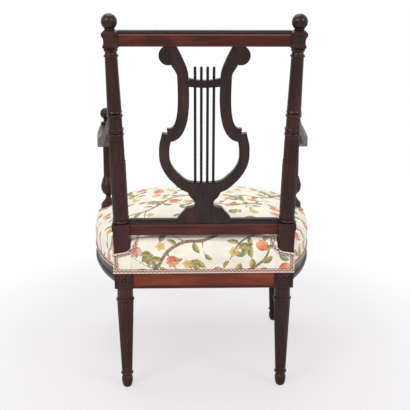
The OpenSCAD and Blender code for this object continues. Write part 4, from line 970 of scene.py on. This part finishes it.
def gimp_on_flap(braid, side, trees):
    """Up a flap's outer edge, over the rear wall to the lower rail, and along the flap's outer face."""
    edge, top = FLAP_X + CLOTH - GIMP_H / 2, FLAP_TOP[-1][1] * PEDESTAL_H
    post_leg = spaced([(edge, GIMP_H / 2 + 1), (edge, top)], GIMP_STEP)
    inner = [(POST_X + u * PEDESTAL, v * PEDESTAL_H) for u, v in GIMP_RISE]
    plan = np.vstack([post_leg, spaced(smooth([(edge, top)] + inner, 8), GIMP_STEP)[1:]])
    way = directions(plan)
    across = np.column_stack([-way[:, 1], way[:, 0]])
    across[:len(post_leg)] = -1.0, 0.0
    keep = np.clip(np.linalg.norm(plan - plan[len(post_leg) - 1], axis=1) / 22, 0, 1)[:, None]
    across = across * keep + np.array([-1.0, -1.0]) * (1 - keep)
    sine, cosine = sin(RAKE), cos(RAKE)
    rows = []
    for (x, h), (cx, ch) in zip(plan, across):
        start = on_back(side * x, 60, h)
        found = [f for f in (surface_at(tree, start, (0, -cosine, sine)) for tree in trees) if f]
        if not found:
            break
        at = max(found, key=lambda f: f[0][1])[0]
        rows.append((at, (0, cosine, -sine), (side * cx, ch * sine, ch * cosine)))
    braid.trim(*(np.array(row, float) for row in zip(*rows)))
    flank = [on_back(side * (FLAP_X + CLOTH + LIFT), y, top)
             for y in np.arange(PEDESTAL / 2, NOTCH_Y - 2, -GIMP_STEP)]
    ways = (np.tile(way, (len(flank), 1)) for way in ([side, 0, 0], [0, -sine, -cosine]))
    braid.trim(np.array(flank), *ways)


def gimp_round_support(braid, side, tree):
    rows = []
    for a in np.radians(np.arange(0, 360.1, 2.5)):
        way = np.array([cos(a) * side, sin(a), 0])
        start = from_rear([side * SUPPORT[0], SUPPORT[1], 480]) + way * RING_GIMP_R
        at, normal = surface_at(tree, start, (0, 0, -1))
        slope = way - normal * normal.dot(way)
        rows.append((at, normal, slope / np.linalg.norm(slope)))
    braid.trim(*(np.array(row) for row in zip(*rows)), width=RING_GIMP_W)


def make_gimp(material, covers):
    graph = bpy.context.evaluated_depsgraph_get()
    trees = [BVHTree.FromObject(thing, graph) for thing in covers]
    braid = Braid()
    gimp_on_foot(braid)
    for side in (-1, 1):
        gimp_on_flap(braid, side, trees)
        gimp_round_support(braid, side, trees[0])
    thing = make_object("gimp", braid.points, braid.faces, material)
    store(thing.data, "tint", braid.tint)
    store(thing.data, "twist", braid.twist)
    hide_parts("gimp_braid")
    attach(thing, "root")


# Under the stuffing: jute webbing, woven over and under, and the hessian that it carries
WEB_W, WEB_LEVEL, WEAVE, HESSIAN_LEVEL = 55.0, 319.6, 0.8, 321.5
LONG_AT = [(i - 2) * 2 * SEAT_HALF * 0.8 / 5 for i in range(5)]
CROSS_AT = [-SEAT_DEPTH * 0.48 + (i - 2) * SEAT_DEPTH * 0.86 / 5 for i in range(5)]


def jute_material(name, pale, dark, scale, striped):
    material, place = new_material(name)
    weave = calc("MAXIMUM", *(wave(place, way, scale, 0.8) for way in "XY"))
    fibre = noise(place, 700.0, 4.0)
    colour = mix(weave, dark, pale)
    colour = mix(ramp(fibre, 0.4, 0.75, 0.0, 0.5), colour, dark)
    if striped:
        off = calc("ABSOLUTE", calc("SUBTRACT", attribute(place, "across"), 0.72))
        colour = mix(times(ramp(off, 0.09, 0.05), 0.75), colour, (118, 62, 46))
    height = plus(weave, times(fibre, 0.4))
    finish_material(colour, height, 0.4 * MM, {"Roughness": 0.9, "Specular IOR Level": 0.2})
    return material


def inside_frame(points, inset):
    """Whether points lie inside the seat frame's outline less an inset, clear of posts and supports."""
    half = shifted(seat_rim(), -inset)
    outline = np.vstack([[(0, 19 - inset), (REAR_X, 19 - inset)], half])
    x, y = np.abs(points[:, 0]), points[:, 1]
    a, b = outline, np.roll(outline, -1, axis=0)
    crossing = (a[None, :, 1] > y[:, None]) != (b[None, :, 1] > y[:, None])
    run = b[:, 1] - a[:, 1]
    at = a[:, 0] + (y[:, None] - a[:, 1]) * (b[:, 0] - a[:, 0]) / np.where(np.abs(run) < 1e-9, 1e-9, run)
    within = (crossing & (x[:, None] < at)).sum(1) % 2 == 1
    post = (x > REAR_X - DIE_HALF - 1) & (y > -DIE_HALF - 1)
    stub = np.hypot(x - SUPPORT[0], y - SUPPORT[1]) < 15
    return within & ~post & ~stub


def make_web(name, cross, at, index, material):
    """One strip of webbing, as long as the frame lets it lie flat."""
    run = np.arange(-620.0, 620.0, 4.0)
    order = [0, 1, 2] if cross else [1, 0, 2]
    sides = [WEB_W * share for share in (-0.5, -0.25, 0, 0.25, 0.5)]
    lines = [np.column_stack([run, np.full(len(run), at + w)])[:, order[:2]] for w in sides]
    free = np.all([inside_frame(line, 14.0) for line in lines], axis=0)
    low = high = int(np.argmin(np.abs(run - (0 if cross else MIDDLE[1]))))
    while free[low - 1]:
        low -= 1
    while free[high + 1]:
        high += 1
    run = run[low:high + 1]
    knots = LONG_AT if cross else CROSS_AT
    over = np.cos((run - knots[0]) / (knots[1] - knots[0]) * pi)
    level = WEB_LEVEL + WEAVE * over * (1 if cross else -1) * (-1 if index % 2 else 1)
    across = np.linspace(-1, 1, 9)
    points = np.array([(r, at + w * WEB_W / 2, z) for r, z in zip(run, level) for w in across])[:, order]
    strip = make_object(name, from_rear(points), grid_faces(len(run), len(across), closed=False), material)
    store(strip.data, "across", [abs(w) for _ in run for w in across])
    thicken(strip, 1.3)
    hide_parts("seat_webbing")
    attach(strip, "root")


def make_hessian(material):
    """Hessian over the webbing, cut round posts and arm supports, slightly hollow between the strips."""
    place, inward, _ = cushion_loop(6.0)
    away = np.hypot(np.abs(place[:, 0]) - SUPPORT[0] - 26, place[:, 1] - SUPPORT[1])
    edge = place + inward * (13.0 + 44.0 * np.exp(-(away / 24) ** 2))[:, None]
    edge[:, 1] = np.minimum(edge[:, 1], 5.0)
    rings = [MIDDLE + (edge - MIDDLE) * share for share in np.linspace(1, 0.04, 42)]
    flat = np.vstack(rings)
    dip = np.cos((flat[:, 0] - LONG_AT[0]) / (LONG_AT[1] - LONG_AT[0]) * 2 * pi)
    points = np.vstack([np.column_stack([flat, HESSIAN_LEVEL + 0.25 * dip]), [*MIDDLE, HESSIAN_LEVEL]])
    count, last = len(edge), len(flat) - len(edge)
    faces = grid_faces(len(rings), count)
    faces += [(last + i, last + (i + 1) % count, len(flat)) for i in range(count)]
    cloth = make_object("hessian", from_rear(points), faces, material)
    thicken(cloth, 0.6)
    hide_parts("seat_hessian")
    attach(cloth, "root")


# Stage
def make_stage():
    """A pale floor that looks white from further off, in a shade of its own for the camera alone."""
    material, place = new_material("floor_paint")
    colour = mix(noise(place, 2.0, 2.0), (236, 234, 236), (240, 238, 240))
    shader = add(place, "BsdfPrincipled", {"Base Color": colour, "Roughness": 0.75})
    white, pale = (add(place, "Emission", {"Color": rgb(*tone), "Strength": 1.0})
                   for tone in ((255, 255, 255), (240, 238, 240)))
    away = add(place, "VectorMath", {0: stretched(place, (1.0, 0.72, 0.0))}, operation="LENGTH")
    seen = add(place, "LightPath").outputs["Is Camera Ray"]
    near = add(place, "MixShader", {0: times(seen, 0.72), 1: shader.outputs[0], 2: pale.outputs[0]})
    far = times(ramp(away.outputs["Value"], 0.42, 1.0), seen)
    show(add(place, "MixShader", {0: far, 1: near.outputs[0], 2: white.outputs[0]}))
    bpy.ops.mesh.primitive_plane_add(size=24.0, location=(0, 0, 0))
    floor = bpy.context.object
    floor.name = "floor"
    floor.data.materials.append(material)


def make_world():
    world = bpy.data.worlds.new("world")
    bpy.context.scene.world = world
    world.use_nodes = True
    tree = world.node_tree
    tree.nodes.clear()
    path = add(tree, "LightPath").outputs
    seen = calc("MAXIMUM", path["Is Camera Ray"], path["Is Transmission Ray"])
    seen = calc("MAXIMUM", seen, path["Is Glossy Ray"])
    strength = add(tree, "MapRange", {"Value": seen, "To Min": 0.62, "To Max": 1.0}).outputs[0]
    show(add(tree, "Background", {"Color": (1, 1, 1, 1), "Strength": strength}), "World")


# The scene
make_camera()
dress_frame()
cloth_look = cloth_material()
cushion = make_cushion(cloth_look)
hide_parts("seat_cover", "seat_stuffing")
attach(cushion, "root")
flaps = [make_flap(side, cloth_look) for side in (-1, 1)]
make_gimp(gimp_material(), [cushion] + flaps)
webbing = jute_material("jute_webbing", (196, 168, 122), (140, 108, 68), 300.0, True)
for i in range(5):
    make_web("web_long_%d" % (i + 1), False, LONG_AT[i], i, webbing)
    make_web("web_cross_%d" % (i + 1), True, CROSS_AT[i], i, webbing)
make_hessian(jute_material("hessian_cloth", (190, 160, 112), (128, 98, 60), 220.0, False))
make_stage()
make_world()
for name, lamp in LAMPS.items():
    add_lamp(name, *lamp)

bpy.context.scene.view_settings.view_transform = "Standard"
